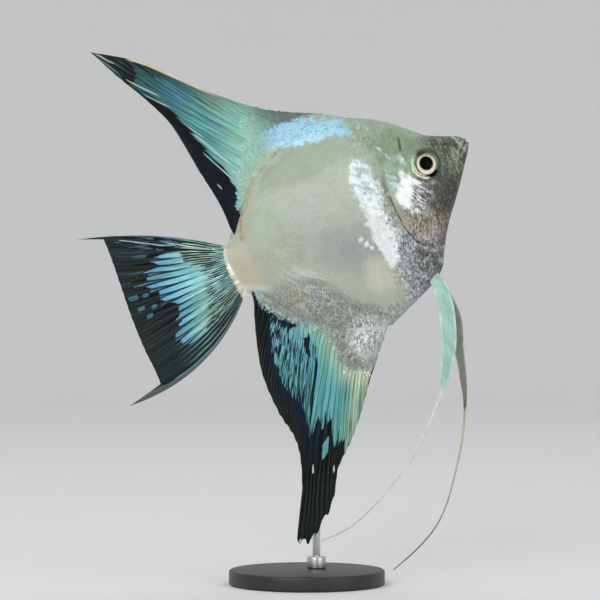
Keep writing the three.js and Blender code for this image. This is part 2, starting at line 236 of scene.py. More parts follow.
class Weave:
    """Smooth noise on a plane, made from a fixed table of random numbers."""

    def __init__(self, seed: int) -> None:
        """Draws the table."""
        self.table = np.random.default_rng(seed).random((256, 256))

    def at(self, x: Array, y: Array) -> Array:
        """The noise at each place.

        Args:
            x: the places along the plane.
            y: the places across it.

        Returns:
            Values from 0 to 1 that change smoothly over a step of 1.
        """
        x, y = np.asarray(x, float), np.asarray(y, float)
        i, j = np.floor(x).astype(int), np.floor(y).astype(int)
        u, v = x - i, y - j
        u, v = u * u * (3 - 2 * u), v * v * (3 - 2 * v)
        low = self.pick(i, j) * (1 - u) + self.pick(i + 1, j) * u
        high = self.pick(i, j + 1) * (1 - u) + self.pick(i + 1, j + 1) * u
        return low * (1 - v) + high * v

    def pick(self, i: Array, j: Array) -> Array:
        """The random number of each whole place."""
        return self.table[i % 256, j % 256]


WEAVE = Weave(11)


def brushed(a: Array, b: Array, degrees: Numbers, width: float, length: float) -> Array:
    """Noise from 0 to 1 in strokes that run in one direction, their width and length in millimetres."""
    c, s = np.cos(np.radians(degrees)), np.sin(np.radians(degrees))
    return WEAVE.at((b * c - a * s) / width + 17, (a * c + b * s) / length + 29)


# ---- the fish's frame


@dataclass(frozen=True)
class Stance:
    """Where the fish's own frame stands in the model."""

    pitch: float = math.radians(28)
    x: float = 7.7
    z: float = 123.2

    def place(self, a: Array, y: Array, b: Array) -> Array:
        """Points of the fish's frame as points of the model.

        Args:
            a: how far along the fish, in millimetres.
            y: how far to its left.
            b: how high on it.

        Returns:
            The points in metres, one row each.
        """
        c, s = math.cos(self.pitch), math.sin(self.pitch)
        a, y, b = np.broadcast_arrays(np.asarray(a, float), np.asarray(y, float), np.asarray(b, float))
        return np.stack([self.x + a * c - b * s, y, self.z + a * s + b * c], axis=-1) * MM


FISH = Stance()
SNOUT, TAIL = 52.0, -37.9


@dataclass(frozen=True)
class BodyShape:
    """The fish's body without fins: its outline, its width and how keen its back and belly are."""

    back: Curve = Curve((
        (-38, 6.4), (-34.5, 6.9), (-31.5, 9.2), (-27.5, 13.6), (-21, 19.6), (-12, 24.9), (-2, 28.0),
        (8, 29.2), (15, 28.2), (20.3, 25.9), (27.7, 21.3), (33.4, 16.4), (37.1, 12.2), (40.5, 8.6),
        (44.7, 6.0), (49.8, 3.2), (51.4, 1.4), (SNOUT, -0.6),
    ))
    belly: Curve = Curve((
        (-38, -9.4), (-34.8, -10.3), (-32, -13.2), (-29, -19.5), (-23, -28.2), (-14, -36), (-6, -40.2),
        (1, -41.7), (9, -39.8), (18, -36.9), (22.6, -34.9), (25.4, -32.6), (29, -27.2), (34.5, -20.3),
        (39.6, -15.2), (44.5, -9.9), (48.4, -5.4), (50.8, -2.6), (SNOUT, -0.6),
    ))
    half_width: Curve = Curve((
        (-38, 0.9), (-35, 1.7), (-31.5, 2.7), (-26, 4.0), (-16, 6.2), (-4, 8.2), (8, 9.3), (18, 9.5),
        (26, 8.9), (33, 7.6), (40, 5.9), (45, 4.5), (49, 3.0), (51.2, 1.6), (SNOUT, 0.0),
    ))
    keenness: Curve = Curve((
        (-38, 0.6), (-30, 0.8), (-15, 0.95), (10, 0.88), (30, 0.7), (45, 0.58), (SNOUT, 0.5),
    ))
    coat_depth: float = 0.1

    def middle(self, a: Array) -> Array:
        """The height halfway between belly and back."""
        return (self.back.at(a) + self.belly.at(a)) / 2

    def half_height(self, a: Array) -> Array:
        """Half the depth of the body."""
        return np.maximum((self.back.at(a) - self.belly.at(a)) / 2, 1e-3)

    def half_thickness(self, a: Array, b: Array) -> Array:
        """How far the flank stands out from the middle plane."""
        t = np.clip((b - self.middle(a)) / self.half_height(a), -1, 1)
        return self.half_width.at(a) * (1 - t * t) ** self.keenness.at(a)

    def normal(self, a: Array, b: Array) -> tuple[Array, Array, Array]:
        """The direction that the flank faces, on the fish's left side.

        Args:
            a: places along the fish.
            b: their heights.

        Returns:
            Its parts along a, y and b.
        """
        step = 0.08
        slope_a = (self.half_thickness(a + step, b) - self.half_thickness(a - step, b)) / (2 * step)
        slope_b = (self.half_thickness(a, b + step) - self.half_thickness(a, b - step)) / (2 * step)
        slope_a, slope_b = np.clip(slope_a, -3, 3), np.clip(slope_b, -3, 3)
        size = np.sqrt(1 + slope_a**2 + slope_b**2)
        return -slope_a / size, 1 / size, -slope_b / size

    def edge_share(self, a: Array, b: Array) -> Array:
        """0 at mid-height, 1 at the back and at the belly."""
        return np.abs(b - self.middle(a)) / self.half_height(a)

    def edge_depth(self, a: Array, b: Array) -> Array:
        """How far inside the body's outline a place lies. It is negative outside."""
        return np.minimum(self.half_height(a) * (1 - self.edge_share(a, b)), a - TAIL)


BODY = BodyShape()


@dataclass(frozen=True)
class Orbit:
    """The eye's place on the flank."""

    a: float = 35.8
    b: float = -0.1

    def reach(self, a: Array, b: Array) -> Array:
        """The distance from the eye's axis."""
        return np.hypot(a - self.a, b - self.b)


ORBIT = Orbit()

GILL_EDGE = Line((
    (26.6, 12.4), (23.8, 10.1), (22.6, 5.0), (21.4, 0.5), (20.3, -3.6), (19.9, -8.3), (19.8, -14.3),
    (20.2, -18.2), (21.6, -22.3), (24.8, -25.0), (29.4, -26.4),
))
CHEEK_EDGE = Line((
    (31.0, 6.6), (29.6, 3.4), (28.9, -1.2), (29.3, -6.5), (30.4, -11.6), (32.6, -15.4), (36.2, -16.4),
))
MOUTH = Line(((52.4, 0.4), (51.2, 0.3), (49.8, -0.6), (48.6, -1.5), (47.6, -2.4)))
UPPER_LIP = Line(((51.4, 2.6), (50.2, 1.9), (48.6, 0.6), (47.0, -0.9), (45.4, -3.0)))
LOWER_LIP = Line(((51.6, -2.2), (50.4, -2.5), (48.7, -3.7), (47.2, -4.8), (45.9, -5.6)))
JAW_FOLD = Line(((48.9, 3.2), (47.0, 1.6), (45.4, -0.4), (44.2, -3.0), (43.9, -5.8), (44.6, -8.2)))
FLANK_ARC = Line((
    (17.5, 17.5), (12.0, 22.6), (2.4, 25.7), (-4.3, 25.4), (-12.1, 22.6), (-19.8, 17.4), (-26.1, 10.8),
    (-29.0, 4.5), (-28.4, -3.0), (-25.0, -9.8), (-19.5, -12.6), (-13.0, -16.8), (-8.0, -24.0), (-2.5, -31.0),
    (4.5, -35.0), (12.0, -34.2),
))
EYE_RIM_FOLD = 5.55


@dataclass(frozen=True)
class Relief:
    """How far the skin stands off the plain body, in millimetres.

    Each part takes places along the fish and their heights, and returns how far the skin stands out there.
    """

    socket_depth: float = 2.6
    plate: float = 0.3
    lip: float = 0.34

    def eye_socket(self, a: Array, b: Array) -> Array:
        """The hollow that holds the eye, with a raised rim.

        Args:
            a: places along the fish.
            b: their heights.

        Returns:
            Millimetres off the skin.
        """
        r = ORBIT.reach(a, b)
        hollow = -self.socket_depth * fade(r, 4.6, 5.05)
        rim = 0.1 * bump(r, EYE_RIM_FOLD, 0.4)
        fold = -0.1 * bump(r, 6.4, 0.35) + 0.06 * bump(r, 7.1, 0.4)
        return hollow + rim + fold

    def gill_cover(self, a: Array, b: Array) -> Array:
        """The cover's raised plate, which ends in a thin edge over a groove.

        Args:
            a: places along the fish.
            b: their heights.

        Returns:
            Millimetres off the skin.
        """
        _, signed, along = GILL_EDGE.near(a, b)
        ends = smooth(along, 0.02, 0.16) * fade(along, 0.74, 0.9)
        plate = self.plate * smooth(signed, -0.12, 0.2) * fade(signed, 1.5, 9.5)
        groove = -0.26 * bump(signed, -0.36, 0.26) - 0.05 * fade(-signed, 0.5, 2.2) * (signed < 0)
        _, cheek_signed, cheek_along = CHEEK_EDGE.near(a, b)
        cheek_ends = smooth(cheek_along, 0.0, 0.2) * fade(cheek_along, 0.8, 1.0)
        cheek = 0.2 * smooth(cheek_signed, -0.25, 0.3) * fade(cheek_signed, 0.4, 4.5)
        return (plate + groove) * ends + (cheek - 0.1 * bump(cheek_signed, -0.5, 0.4)) * cheek_ends

    def mouth(self, a: Array, b: Array) -> Array:
        """The gape between full lips, and the folds that let the jaws slide forward.

        Args:
            a: places along the fish.
            b: their heights.

        Returns:
            Millimetres off the skin.
        """
        gap, _, along = MOUTH.near(a, b)
        open_end = 1 - smooth(along, 0.85, 1.0) * 0.5
        cleft = -(0.3 + 0.6 * smooth(a, 50.2, 51.4)) * bump(gap, 0, 0.22) * open_end
        lips = self.lip * bump(gap, 0.8, 0.45) * fade(along, 0.9, 1.0)
        folds = -0.1 * bump(UPPER_LIP.near(a, b)[0], 0, 0.24) - 0.1 * bump(LOWER_LIP.near(a, b)[0], 0, 0.24)
        creases = 0.025 * fade(BODY.edge_share(a, b), 0.88, 0.96)
        creases = creases * np.sin(a * 6.3 + 0.6 * b + 5 * WEAVE.at(a / 1.5, b / 1.5))
        creases = creases * smooth(a, 45.5, 47.5)
        jaw = -0.14 * bump(JAW_FOLD.near(a, b)[0], 0, 0.3)
        return cleft + lips + folds + creases * smooth(gap, 0.3, 0.9) + jaw

    def nostril(self, a: Array, b: Array) -> Array:
        """One small pit with a raised rim, between the eye and the upper lip."""
        r = np.hypot((a - 44.3) / 1.15, b - 2.9)
        return -0.55 * fade(r, 0.22, 0.5) + 0.12 * bump(r, 0.72, 0.2)

    def muscles(self, a: Array, b: Array) -> Array:
        """The swollen flank inside its arc, the nape and the shoulder behind the gill.

        Args:
            a: places along the fish.
            b: their heights.

        Returns:
            Millimetres off the skin.
        """
        _, signed, along = FLANK_ARC.near(a, b)
        ends = smooth(along, 0.0, 0.1) * fade(along, 0.82, 0.97)
        flank = 0.12 * ends * smooth(signed, -2.5, 2.5)
        nape = 0.25 * blob(a, b, (27, 15), (9, 5), -38)
        slack = 0.10 * (WEAVE.at(a / 9 + 3, b / 7) - 0.5) + 0.05 * (WEAVE.at(a / 3.1, b / 2.7 + 9) - 0.5)
        return flank + nape + slack

    def height(self, a: Array, b: Array) -> Array:
        """All of the relief together."""
        near_eye = self.eye_socket(a, b) + self.gill_cover(a, b) + self.mouth(a, b)
        return near_eye + self.nostril(a, b) + self.muscles(a, b)


RELIEF = Relief()


def flank_point(a: Array, b: Array, side: int, lift: Numbers = 0.0) -> Array:
    """A point on the skin, or off it.

    Args:
        a: places along the fish.
        b: their heights.
        side: -1 for the right flank and 1 for the left.
        lift: millimetres outwards from the skin.

    Returns:
        Points of the model, in metres.
    """
    na, ny, nb = BODY.normal(a, b)
    out = RELIEF.height(a, b) + lift - BODY.coat_depth
    y = BODY.half_thickness(a, b) + ny * out
    return FISH.place(a + na * out, side * np.maximum(y, 0.02), b + nb * out)


def map_along(a: Array) -> Array:
    """How far along the skin's unwrap a place on the fish lies."""
    return 0.02 + 0.96 * (a - TAIL) / (SNOUT - TAIL)


def unwrapped(a: Array, b: Array, side: int | Array) -> Array:
    """The place of flank points on the skin's own unwrap.

    Args:
        a: places along the fish.
        b: their heights.
        side: -1 for the right flank and 1 for the left.

    Returns:
        How far along the map and how far around it each lies.
    """
    t = np.clip((b - BODY.middle(a)) / BODY.half_height(a), -1, 1)
    around = np.where(np.asarray(side) < 0, 0.25 + 0.235 * t, 0.75 - 0.235 * t)
    return np.stack([map_along(a), around], axis=-1)


# ---- markings


def spread(colour: Colour, a: Array) -> Array:
    """One colour at every place, with an alpha of 1."""
    return np.zeros(np.shape(a) + (4,)) + (*colour, 1.0)


def layered(base: Array, layers: Sequence[tuple[Colour, Array]]) -> Array:
    """Colours laid one over another.

    Args:
        base: the colour below, at each place.
        layers: each pigment, with how thick it lies at each place.

    Returns:
        The colour on top, at each place.
    """
    colour = base
    for pigment, share in layers:
        share = np.clip(share, 0, 1)[..., None]
        colour = colour * (1 - share) + np.array((*pigment, 1.0)) * share
    return colour


class Pigment(Enum):
    """The colours that the fish is painted with."""

    FLANK = paint(170, 179, 165)
    COOL_GREY = paint(152, 156, 154)
    CREAM = paint(196, 194, 178)
    SAGE = paint(164, 182, 160)
    OLIVE = paint(124, 150, 118)
    NAPE = paint(152, 168, 146)
    SNOUT = paint(56, 68, 47)
    CHEEK = paint(54, 56, 40)
    TAN = paint(188, 160, 124)
    PEACH = paint(190, 180, 156)
    SLATE = paint(70, 82, 88)
    BARK = paint(142, 112, 80)
    SKY = paint(164, 214, 236)
    ICE = paint(196, 242, 254)
    GLACIER = paint(206, 228, 232)
    AQUA = paint(146, 204, 190)
    MINT = paint(160, 192, 178)
    SILVER = paint(240, 245, 246)
    SHELL = paint(206, 212, 208)
    BROWN_GREY = paint(150, 142, 128)
    BREAST = paint(174, 174, 184)
    THROAT = paint(54, 55, 61)
    LILAC = paint(170, 174, 170)
    SHADE = paint(144, 156, 134)
    STROKE = paint(150, 164, 144)
    DARK_OLIVE = paint(44, 52, 36)
    SLIT = paint(70, 54, 40)
    GILL_STREAK = paint(116, 122, 84)
    SMOKE = paint(138, 144, 138)
    CREST = paint(72, 96, 92)
    GOLD = paint(186, 176, 136)
    PINK = paint(182, 160, 148)
    # Painted shade: dark brown laid in the creases and pits that the relief cuts, where shade falls.
    GROOVE = paint(58, 48, 36)


@dataclass(frozen=True)
class Markings:
    """The pattern on skin and coat alike, as a colour and four traits at each place on the flank.

    The traits are mosaic (bright crescents on dark scales), silver (mirror-like), speck (dark flecks) and
    mottle (fine pale and dark strokes). Every method takes places along the fish and their heights.
    """

    gill_band: Line = Line((
        (15.2, 10.0), (14.7, 0.4), (13.5, -6.9), (12.6, -14.1), (11.9, -19.0), (11.2, -23.4),
    ))
    band_width: Curve = Curve((
        (0, 2.2), (0.07, 3.4), (0.29, 4.2), (0.5, 3.3), (0.72, 4.4), (0.87, 3.5), (1, 1.6),
    ))
    cover_shine: tuple[Facet, ...] = (
        Facet(((27.6, 1.6), (21.9, -4.9), (22.0, -9.8), (24.3, -11.8), (29.9, -2.7))),
        Facet(((27.6, 2.0), (24.7, -1.8), (27.7, -6.4), (31.4, -5.2))),
    )
    cover_ribs: Facet = Facet((
        (28.4, -3.9), (24.0, -12.4), (27.2, -13.8), (32.2, -11.4), (33.6, -8.4), (31.6, -4.9),
    ))
    sky_patch: Line = Line(((-7.0, 30.6), (-1.0, 30.4), (6.0, 28.8), (12.5, 25.8), (17.6, 23.4)))
    arc_glow: Line = Line(((-4.3, 26.6), (-11.4, 25.2), (-17.3, 21.6), (-22.5, 17.0)))
    slit: Line = Line(((31.7, 11.4), (31.1, 9.6), (30.4, 7.9)))
    pores: Line = Line(((24.0, 12.6), (24.8, 9.8), (25.9, 6.8)))
    tan_streak: Line = Line(((-20.6, 18.9), (-24.8, 14.4), (-28.0, 9.8), (-29.6, 6.4)))

    def layers(self, a: Array, b: Array) -> list[tuple[Pigment, Array]]:
        """The pigments in the order that they are laid on, each with how thick it lies.

        Args:
            a: places along the fish.
            b: their heights.

        Returns:
            Each pigment with its thickness, from 0 to 1.
        """
        wander = 2.2 * (WEAVE.at(a / 4.0, b / 4.0) - 0.5) + 1.0 * (WEAVE.at(a / 1.3 + 40, b / 1.3) - 0.5)
        aw, bw = a + wander, b + 2.0 * (WEAVE.at(a / 3.6 + 70, b / 3.6 + 20) - 0.5)
        fine = WEAVE.at(a / 0.8 + 15, b / 0.8 + 31)
        edge = BODY.edge_share(a, b)
        _, cover_side, cover_along = GILL_EDGE.near(a, b)
        head = smooth(a + 0.25 * b, 18.0, 27.0) * smooth(a, 14, 24)
        outside = 1 - smooth(FLANK_ARC.near(aw, bw)[1], -1.8, 0.2)
        rear = smooth(2 - a, 0, 7)
        sky = self.sky(a, b)
        from_eye, around_eye = ORBIT.reach(a, b), np.arctan2(b - ORBIT.b, a - ORBIT.a)
        depth, gape = BODY.edge_depth(a, b), MOUTH.near(a, b)[0]
        plate, ribs, band = self.opercle(a, b), self.cover_ribs.share(a, b, 2.0), self.band(a, b)
        patch = partial(blob, aw, bw)
        streaky = brushed(a, b, -45, 0.8, 2.4)
        fan = brushed(a, b, -42 + 1.6 * (a + 17), 0.55, 5.0)
        upright = brushed(a, b, 96 + 3 * (b - 2), 0.55, 3.2)
        side_on, lip = fade(edge, 0.9, 0.985), a + 0.25 * b + 0.5 * fine
        return [
            (Pigment.COOL_GREY, 0.8 * patch((1, -14), (18, 10), -38)),
            (Pigment.SHADE, 0.75 * patch((-2, 19), (20, 8), -2)),
            (Pigment.SHADE, 0.95 * patch((-21, 2), (11, 16), 12)),
            (Pigment.SAGE, 0.4 * patch((-25, 6), (7, 10), 12)),
            (Pigment.CREAM, 0.3 * patch((-22, 0), (8, 13), 12)),
            (Pigment.LILAC, 0.5 * patch((-9, 3), (12, 9), 30)),
            (Pigment.CREAM, 0.8 * patch((5.5, -25.5), (7, 8))),
            (Pigment.SAGE, 0.6 * patch((-20, 10), (10, 12))),
            (Pigment.CREAM, 0.3 * patch((-19, -4), (13, 5), 45) * smooth(streaky, 0.3, 0.7)),
            (Pigment.NAPE, 0.6 * patch((13, 18), (15, 8), -12)),
            (Pigment.SMOKE, 0.6 * smooth(edge, 0.88, 1.0) * smooth(-b, 20, 30)),
            (Pigment.SMOKE, 0.7 * outside * smooth(-b, 9, 17) * smooth(8 - a, 0, 12)),
            (Pigment.SLATE, 0.7 * outside * smooth(-b - 0.9 * (a + 30), 23.5, 26.5) * smooth(-a, 24, 27)),
            (Pigment.GOLD, 0.5 * patch((-23.5, -19.5), (6.5, 5.0)) * smooth(fine, 0.2, 0.6)),
            (Pigment.SHELL, 0.8 * patch((-8.0, -42.0), (8.5, 9.5), -40)),
            (Pigment.SHELL, 0.8 * patch((-17.5, -15.5), (11.5, 5.2), -48) * smooth(fan, 0.42, 0.72)),
            (Pigment.SAGE, 0.9 * outside * smooth(b, 5, 14) * rear),
            (Pigment.AQUA, 0.75 * outside * smooth(depth, 2.0, -6.0) * smooth(b, 5, 14) * rear),
            (Pigment.PEACH, 0.75 * smooth(-aw, 26.5, 32.0) * fade(bw, 3.5, 8) * smooth(bw, -13, -9)),
            (Pigment.SHELL, 0.4 * smooth(-a, 36.2, 37.4)),
            (Pigment.SHELL, 0.8 * smooth(-a, 27, 31) * bump(b + 0.55 * (a + 34), -9.6, 1.3)),
            (Pigment.TAN, 0.5 * self.tan_streak.band(aw, b, 2.4, 1.0)),
            (Pigment.BARK, 0.6 * self.tan_streak.band(aw + 0.5, b, 0.7, 0.9) * smooth(fine, 0.2, 0.6)),
            (Pigment.CREST, 0.85 * smooth(-depth, 1.0, 5.0) * smooth(a, -13, 2) * smooth(18 - a, 0, 3)),
            (Pigment.SKY, sky),
            (Pigment.ICE, 0.9 * sky * smooth(28.9 - b + 5 * (fine - 0.5), 0, 3) * smooth(14 - a, 0, 12)),
            (Pigment.OLIVE, 0.92 * head * smooth(bw + 0.35 * (a - 34), -8, 0)),
            (Pigment.NAPE, 0.6 * head * blob(a, b, (24, 20), (9, 5), -35)),
            (Pigment.SHELL, 0.5 * smooth(fine, 0.5, 0.8) * blob(a, b, (21, 18.5), (5, 7), -20)),
            (Pigment.BROWN_GREY, smooth(cover_side, -1, 1) * fade(bw, -12, -6) * smooth(a, 17, 20)),
            (Pigment.BREAST, smooth(-bw - 0.5 * (a - 20), 17, 23) * smooth(aw, 8.5, 15)),
            (Pigment.THROAT, 0.75 * smooth(edge, 0.7, 0.95) * smooth(-b, 24, 29) * smooth(a, 12, 18)),
            (Pigment.THROAT, 0.95 * patch((23.0, -28.5), (7.5, 8.0), 10)),
            (Pigment.CHEEK, 0.99 * patch((37.0, -10.6), (11.5, 10.4), -30)),
            (Pigment.CHEEK, 0.6 * smooth(brushed(a, b, -64, 0.7, 1.8), 0.5, 0.7)
             * blob(a, b, (29, -14), (7, 6), -30)),
            (Pigment.PINK, 0.4 * smooth(fine, 0.35, 0.75) * patch((26, -15), (6, 5), -30)),
            (Pigment.THROAT, 0.7 * smooth(edge, 0.72, 1.0) * smooth(-b, 6, 12) * smooth(a, 24, 30)),
            (Pigment.SNOUT, 0.9 * smooth(a + 0.12 * b, 38.5, 43.5)),
            (Pigment.SNOUT, 0.8 * facing(around_eye, 25, 60) * smooth(from_eye, 5, 6)
             * fade(from_eye, 8, 11)),
            (Pigment.DARK_OLIVE, 0.9 * side_on * smooth(upright, 0.5, 0.7) * smooth(a, 38, 42)),
            (Pigment.STROKE, 0.5 * side_on * fade(upright, 0.26, 0.4) * smooth(a, 41, 44.5)),
            (Pigment.SHELL, 0.6 * side_on * bump(lip, 49.4, 0.4) * smooth(b, -5, -1)),
            (Pigment.DARK_OLIVE, 0.8 * side_on * bump(lip, 48.3, 0.5) * smooth(b, -8, -4)),
            (Pigment.SMOKE, 0.45 * smooth(a, 14, 17) * fade(cover_side, -1.5, 0) * fade(b, 2, 10)),
            (Pigment.MINT, 0.6 * smooth(fine, 0.0, 0.6) * patch((26.6, 4.2), (6.4, 4.4), 30)),
            (Pigment.SHELL, 0.7 * smooth(fine, 0.3, 0.7) * patch((29.0, 5.0), (1.7, 2.8), 20)),
            (Pigment.MINT, 0.75 * smooth(fine, 0.0, 0.5) * patch((22.4, -1.5), (2.4, 6.5), 12)),
            (Pigment.GLACIER, 0.7 * smooth(streaky, 0.4, 0.7) * patch((22.8, 0.2), (2.2, 5.0), 12)),
            (Pigment.SHELL, 0.8 * self.pores.band(a, b, 0.5, 0.5) * smooth(fine, 0.2, 0.5)),
            (Pigment.GLACIER, 0.9 * fade(np.hypot(a - 29.5, b - 4.9), 0.35, 0.8)),
            (Pigment.SHELL, 0.6 * smooth(fine, 0.2, 0.6) * bump(a - 0.1 * b, 28.6, 0.7)
             * smooth(-b, 24.5, 27.5)),
            (Pigment.BROWN_GREY, 0.7 * self.cover_ribs.share(a, b, 3.0)),
            (Pigment.SILVER, 0.85 * ribs * fade(a + 0.35 * b, 22.5, 28.0)),
            (Pigment.SILVER, 0.6 * ribs * smooth(streaky, 0.35, 0.6)),
            (Pigment.SILVER, plate),
            (Pigment.SMOKE, 0.4 * plate * smooth(brushed(a, b, 130, 0.5, 2.6), 0.6, 0.76)),
            (Pigment.SILVER, band),
            (Pigment.GLACIER, 0.85 * band * smooth(b, -6, 3)),
            (Pigment.SMOKE, 0.7 * band * smooth(brushed(a, b, -50, 0.7, 2.0), 0.6, 0.78)
             * smooth(b, -12, 2)),
            (Pigment.SMOKE, 0.5 * patch((17.8, -2.0), (2.4, 4.5), -20) * smooth(streaky, 0.35, 0.7)),
            (Pigment.SILVER, 0.9 * fade(np.hypot(a - 4.9, b + 12.3) + 0.6 * fine, 0.7, 1.3)),
            (Pigment.SILVER, 0.95 * fade(np.hypot(a - 6.0, b + 14.4) + 0.6 * fine, 0.9, 1.5)),
            (Pigment.SILVER, 0.9 * fade(np.hypot(a - 6.9, b + 16.3) + 0.6 * fine, 0.7, 1.3)),
            (Pigment.GILL_STREAK, 0.75 * bump(cover_side, -0.9, 0.6) * smooth(cover_along, 0.18, 0.28)
             * fade(cover_along, 0.42, 0.55)),
            (Pigment.LILAC, 0.6 * bump(cover_side, -1.1, 0.7) * smooth(cover_along, 0.45, 0.6)),
            # Painted shade in the groove under the gill cover's edge.
            (Pigment.GROOVE, 0.85 * bump(cover_side, -0.25, 0.3) * smooth(cover_along, 0.3, 0.45)
             * fade(cover_along, 0.76, 0.92)),
            (Pigment.PINK, 0.5 * bump(cover_side, 0.6, 0.5) * smooth(cover_along, 0.42, 0.5)
             * fade(cover_along, 0.72, 0.85)),
            (Pigment.SLIT, 0.85 * self.slit.band(a, b, 0.6, 0.6)),
            # Painted shade in the creases round the eye socket.
            (Pigment.GROOVE, 0.95 * facing(around_eye, 222, 24) * bump(from_eye, 5.75, 0.34)),
            (Pigment.GROOVE, 0.9 * facing(around_eye, 254, 9) * bump(from_eye, 6.1, 0.3)),
            (Pigment.GROOVE, 0.35 * facing(around_eye, 40, 34) * bump(from_eye, 5.4, 0.3)),
            (Pigment.CREAM, 0.6 * facing(around_eye, 262, 10) * bump(from_eye, 6.6, 0.7)),
            (Pigment.STROKE, 0.5 * bump(gape, 0.8, 0.4)),
            # Painted shade in the mouth's gape, the upper lip's fold and the nostril's pit.
            (Pigment.GROOVE, (0.35 + 0.6 * smooth(a, 50.2, 51.2)) * bump(gape, 0, 0.22)),
            (Pigment.GROOVE, 0.2 * bump(UPPER_LIP.near(a, b)[0], 0, 0.2)),
            (Pigment.GROOVE, 0.45 * fade(np.hypot(a - 44.3, b - 2.9), 0.2, 0.55)),
            (Pigment.CREAM, 0.22 * self.arc_glow.band(aw, b, 2.6, 1.0)),
        ]

    def sky(self, a: Array, b: Array) -> Array:
        """The sky-blue saddle before the tall back fin.

        Args:
            a: places along the fish.
            b: their heights.

        Returns:
            Its thickness, from 0 to 1.
        """
        ragged = 1.8 * (WEAVE.at(a / 1.4 + 3, b / 1.4 + 8) - 0.5) + 1.1 * (WEAVE.at(a / 0.6, b / 0.6) - 0.5)
        gap = self.sky_patch.near(a, b)[0]
        width = 2.6 + 1.2 * bump(a, 4, 7)
        ends = smooth(a + ragged, -13, -1) * fade(a + 0.3 * ragged, 18.6, 19.8)
        return fade(gap + ragged, width - 0.6, width + 0.9) * ends

    def opercle(self, a: Array, b: Array) -> Array:
        """The bright plate behind and below the eye.

        Args:
            a: places along the fish.
            b: their heights.

        Returns:
            Its thickness, from 0 to 1.
        """
        ragged_a = a + 1.3 * (WEAVE.at(a / 1.1, b / 1.1) - 0.5)
        ragged_b = b + 1.3 * (WEAVE.at(a / 1.1 + 50, b / 1.1) - 0.5)
        return np.maximum.reduce([facet.share(ragged_a, ragged_b, 1.1) for facet in self.cover_shine])

    def ribs(self, a: Array, b: Array) -> Array:
        """Where short dark strokes cross the front edge of the bright plate."""
        lower = 0.6 * blob(a, b, (25.5, -14.0), (4.5, 3.4), -35)
        return np.maximum(self.cover_ribs.share(a, b, 2.2), lower)

    def band(self, a: Array, b: Array) -> Array:
        """The bright band that runs down the shoulder behind the gill.

        Args:
            a: places along the fish.
            b: their heights.

        Returns:
            Its thickness, from 0 to 1.
        """
        ragged = 1.9 * (WEAVE.at(a / 1.2 + 7, b / 1.2) - 0.5) + 1.4 * (WEAVE.at(a / 2.9, b / 2.9 + 5) - 0.5)
        ragged = ragged + 1.2 * (WEAVE.at(a / 0.6 + 7, b / 0.6) - 0.5)
        gap, signed, along = self.gill_band.near(a, b)
        width = self.band_width.at(along)
        dull = 0.2 * smooth(signed, 0.0, 3.0) * fade(along, 0.42, 0.55) + 0.15 * fade(along, 0, 0.16)
        soft = np.where(signed > 0, 0.3, 0.7)
        strokes = brushed(a, b, -62, 0.5, 3.2)
        worn = 0.6 * smooth(strokes, 0.5, 0.7) * smooth(gap / width, 0.6, 1.0)
        return fade(gap + ragged, width * (soft + 0.25), width + 0.6) * (1 - dull) * (1 - worn)

    def tint(self, a: Array, b: Array) -> Array:
        """The colour at each place, as linear light with an alpha of 1."""
        rows = [(pigment.value, share) for pigment, share in self.layers(a, b)]
        return layered(spread(Pigment.FLANK.value, a), rows)

    def traits(self, a: Array, b: Array) -> Array:
        """Mosaic, silver, speck and mottle at each place, each from 0 to 1.

        Args:
            a: places along the fish.
            b: their heights.

        Returns:
            Four columns.
        """
        _, cover_side, _ = GILL_EDGE.near(a, b)
        opercle, band = self.opercle(a, b), self.band(a, b)
        breast = smooth(-b - 0.5 * (a - 20), 10, 21) * smooth(a, 7, 15)
        cheek = smooth(-b + 0.35 * (a - 30), 4, 10) * smooth(a, 20, 24) * fade(a, 41, 46)
        shoulder = smooth(a, 13, 17) * fade(cover_side, -1, 0) * fade(b, -2, 8)
        clumps = blob(a, b, (-7.5, -40), (7.0, 8.5), -20)
        anal = smooth(-FLANK_ARC.near(a, b)[1], -0.5, 2.5) * smooth(-b, 10, 18) * fade(a, 4, 12)
        mosaic = np.maximum.reduce([breast, 0.98 * cheek, 0.65 * shoulder, 0.55 * anal, 0.85 * clumps])
        mosaic = mosaic * (1 - 0.9 * opercle) * (1 - 0.85 * band)
        breast = breast * (1 - 0.6 * blob(a, b, (24.0, -28.5), (6.5, 7.0), 10))
        silver = [opercle, band, 0.55 * breast, 0.12 * cheek, 0.3 * anal, 0.4 * shoulder, clumps]
        back = smooth(-BODY.edge_depth(a, b), -3, 1) * smooth(b, 5, 14)
        sky = self.sky(a, b)
        mottle = np.maximum(smooth(a + 0.25 * b, 18, 27) * (0.45 + 0.55 * smooth(a, 35, 42)), 0.4 * back)
        mottle = mottle * (1 - 0.9 * opercle) * (1 - sky)
        speck = sky * smooth(b + 0.3 * a, 25.5, 30)
        return np.stack([mosaic, np.maximum.reduce(silver), speck, mottle], axis=-1)


MARKINGS = Markings()


# ---- shader maths


def operator(kind: str) -> Callable[..., "Value"]:
    """An operator of Value that adds a Math node of one kind."""
    return lambda value, *others: value.math(kind, *others)


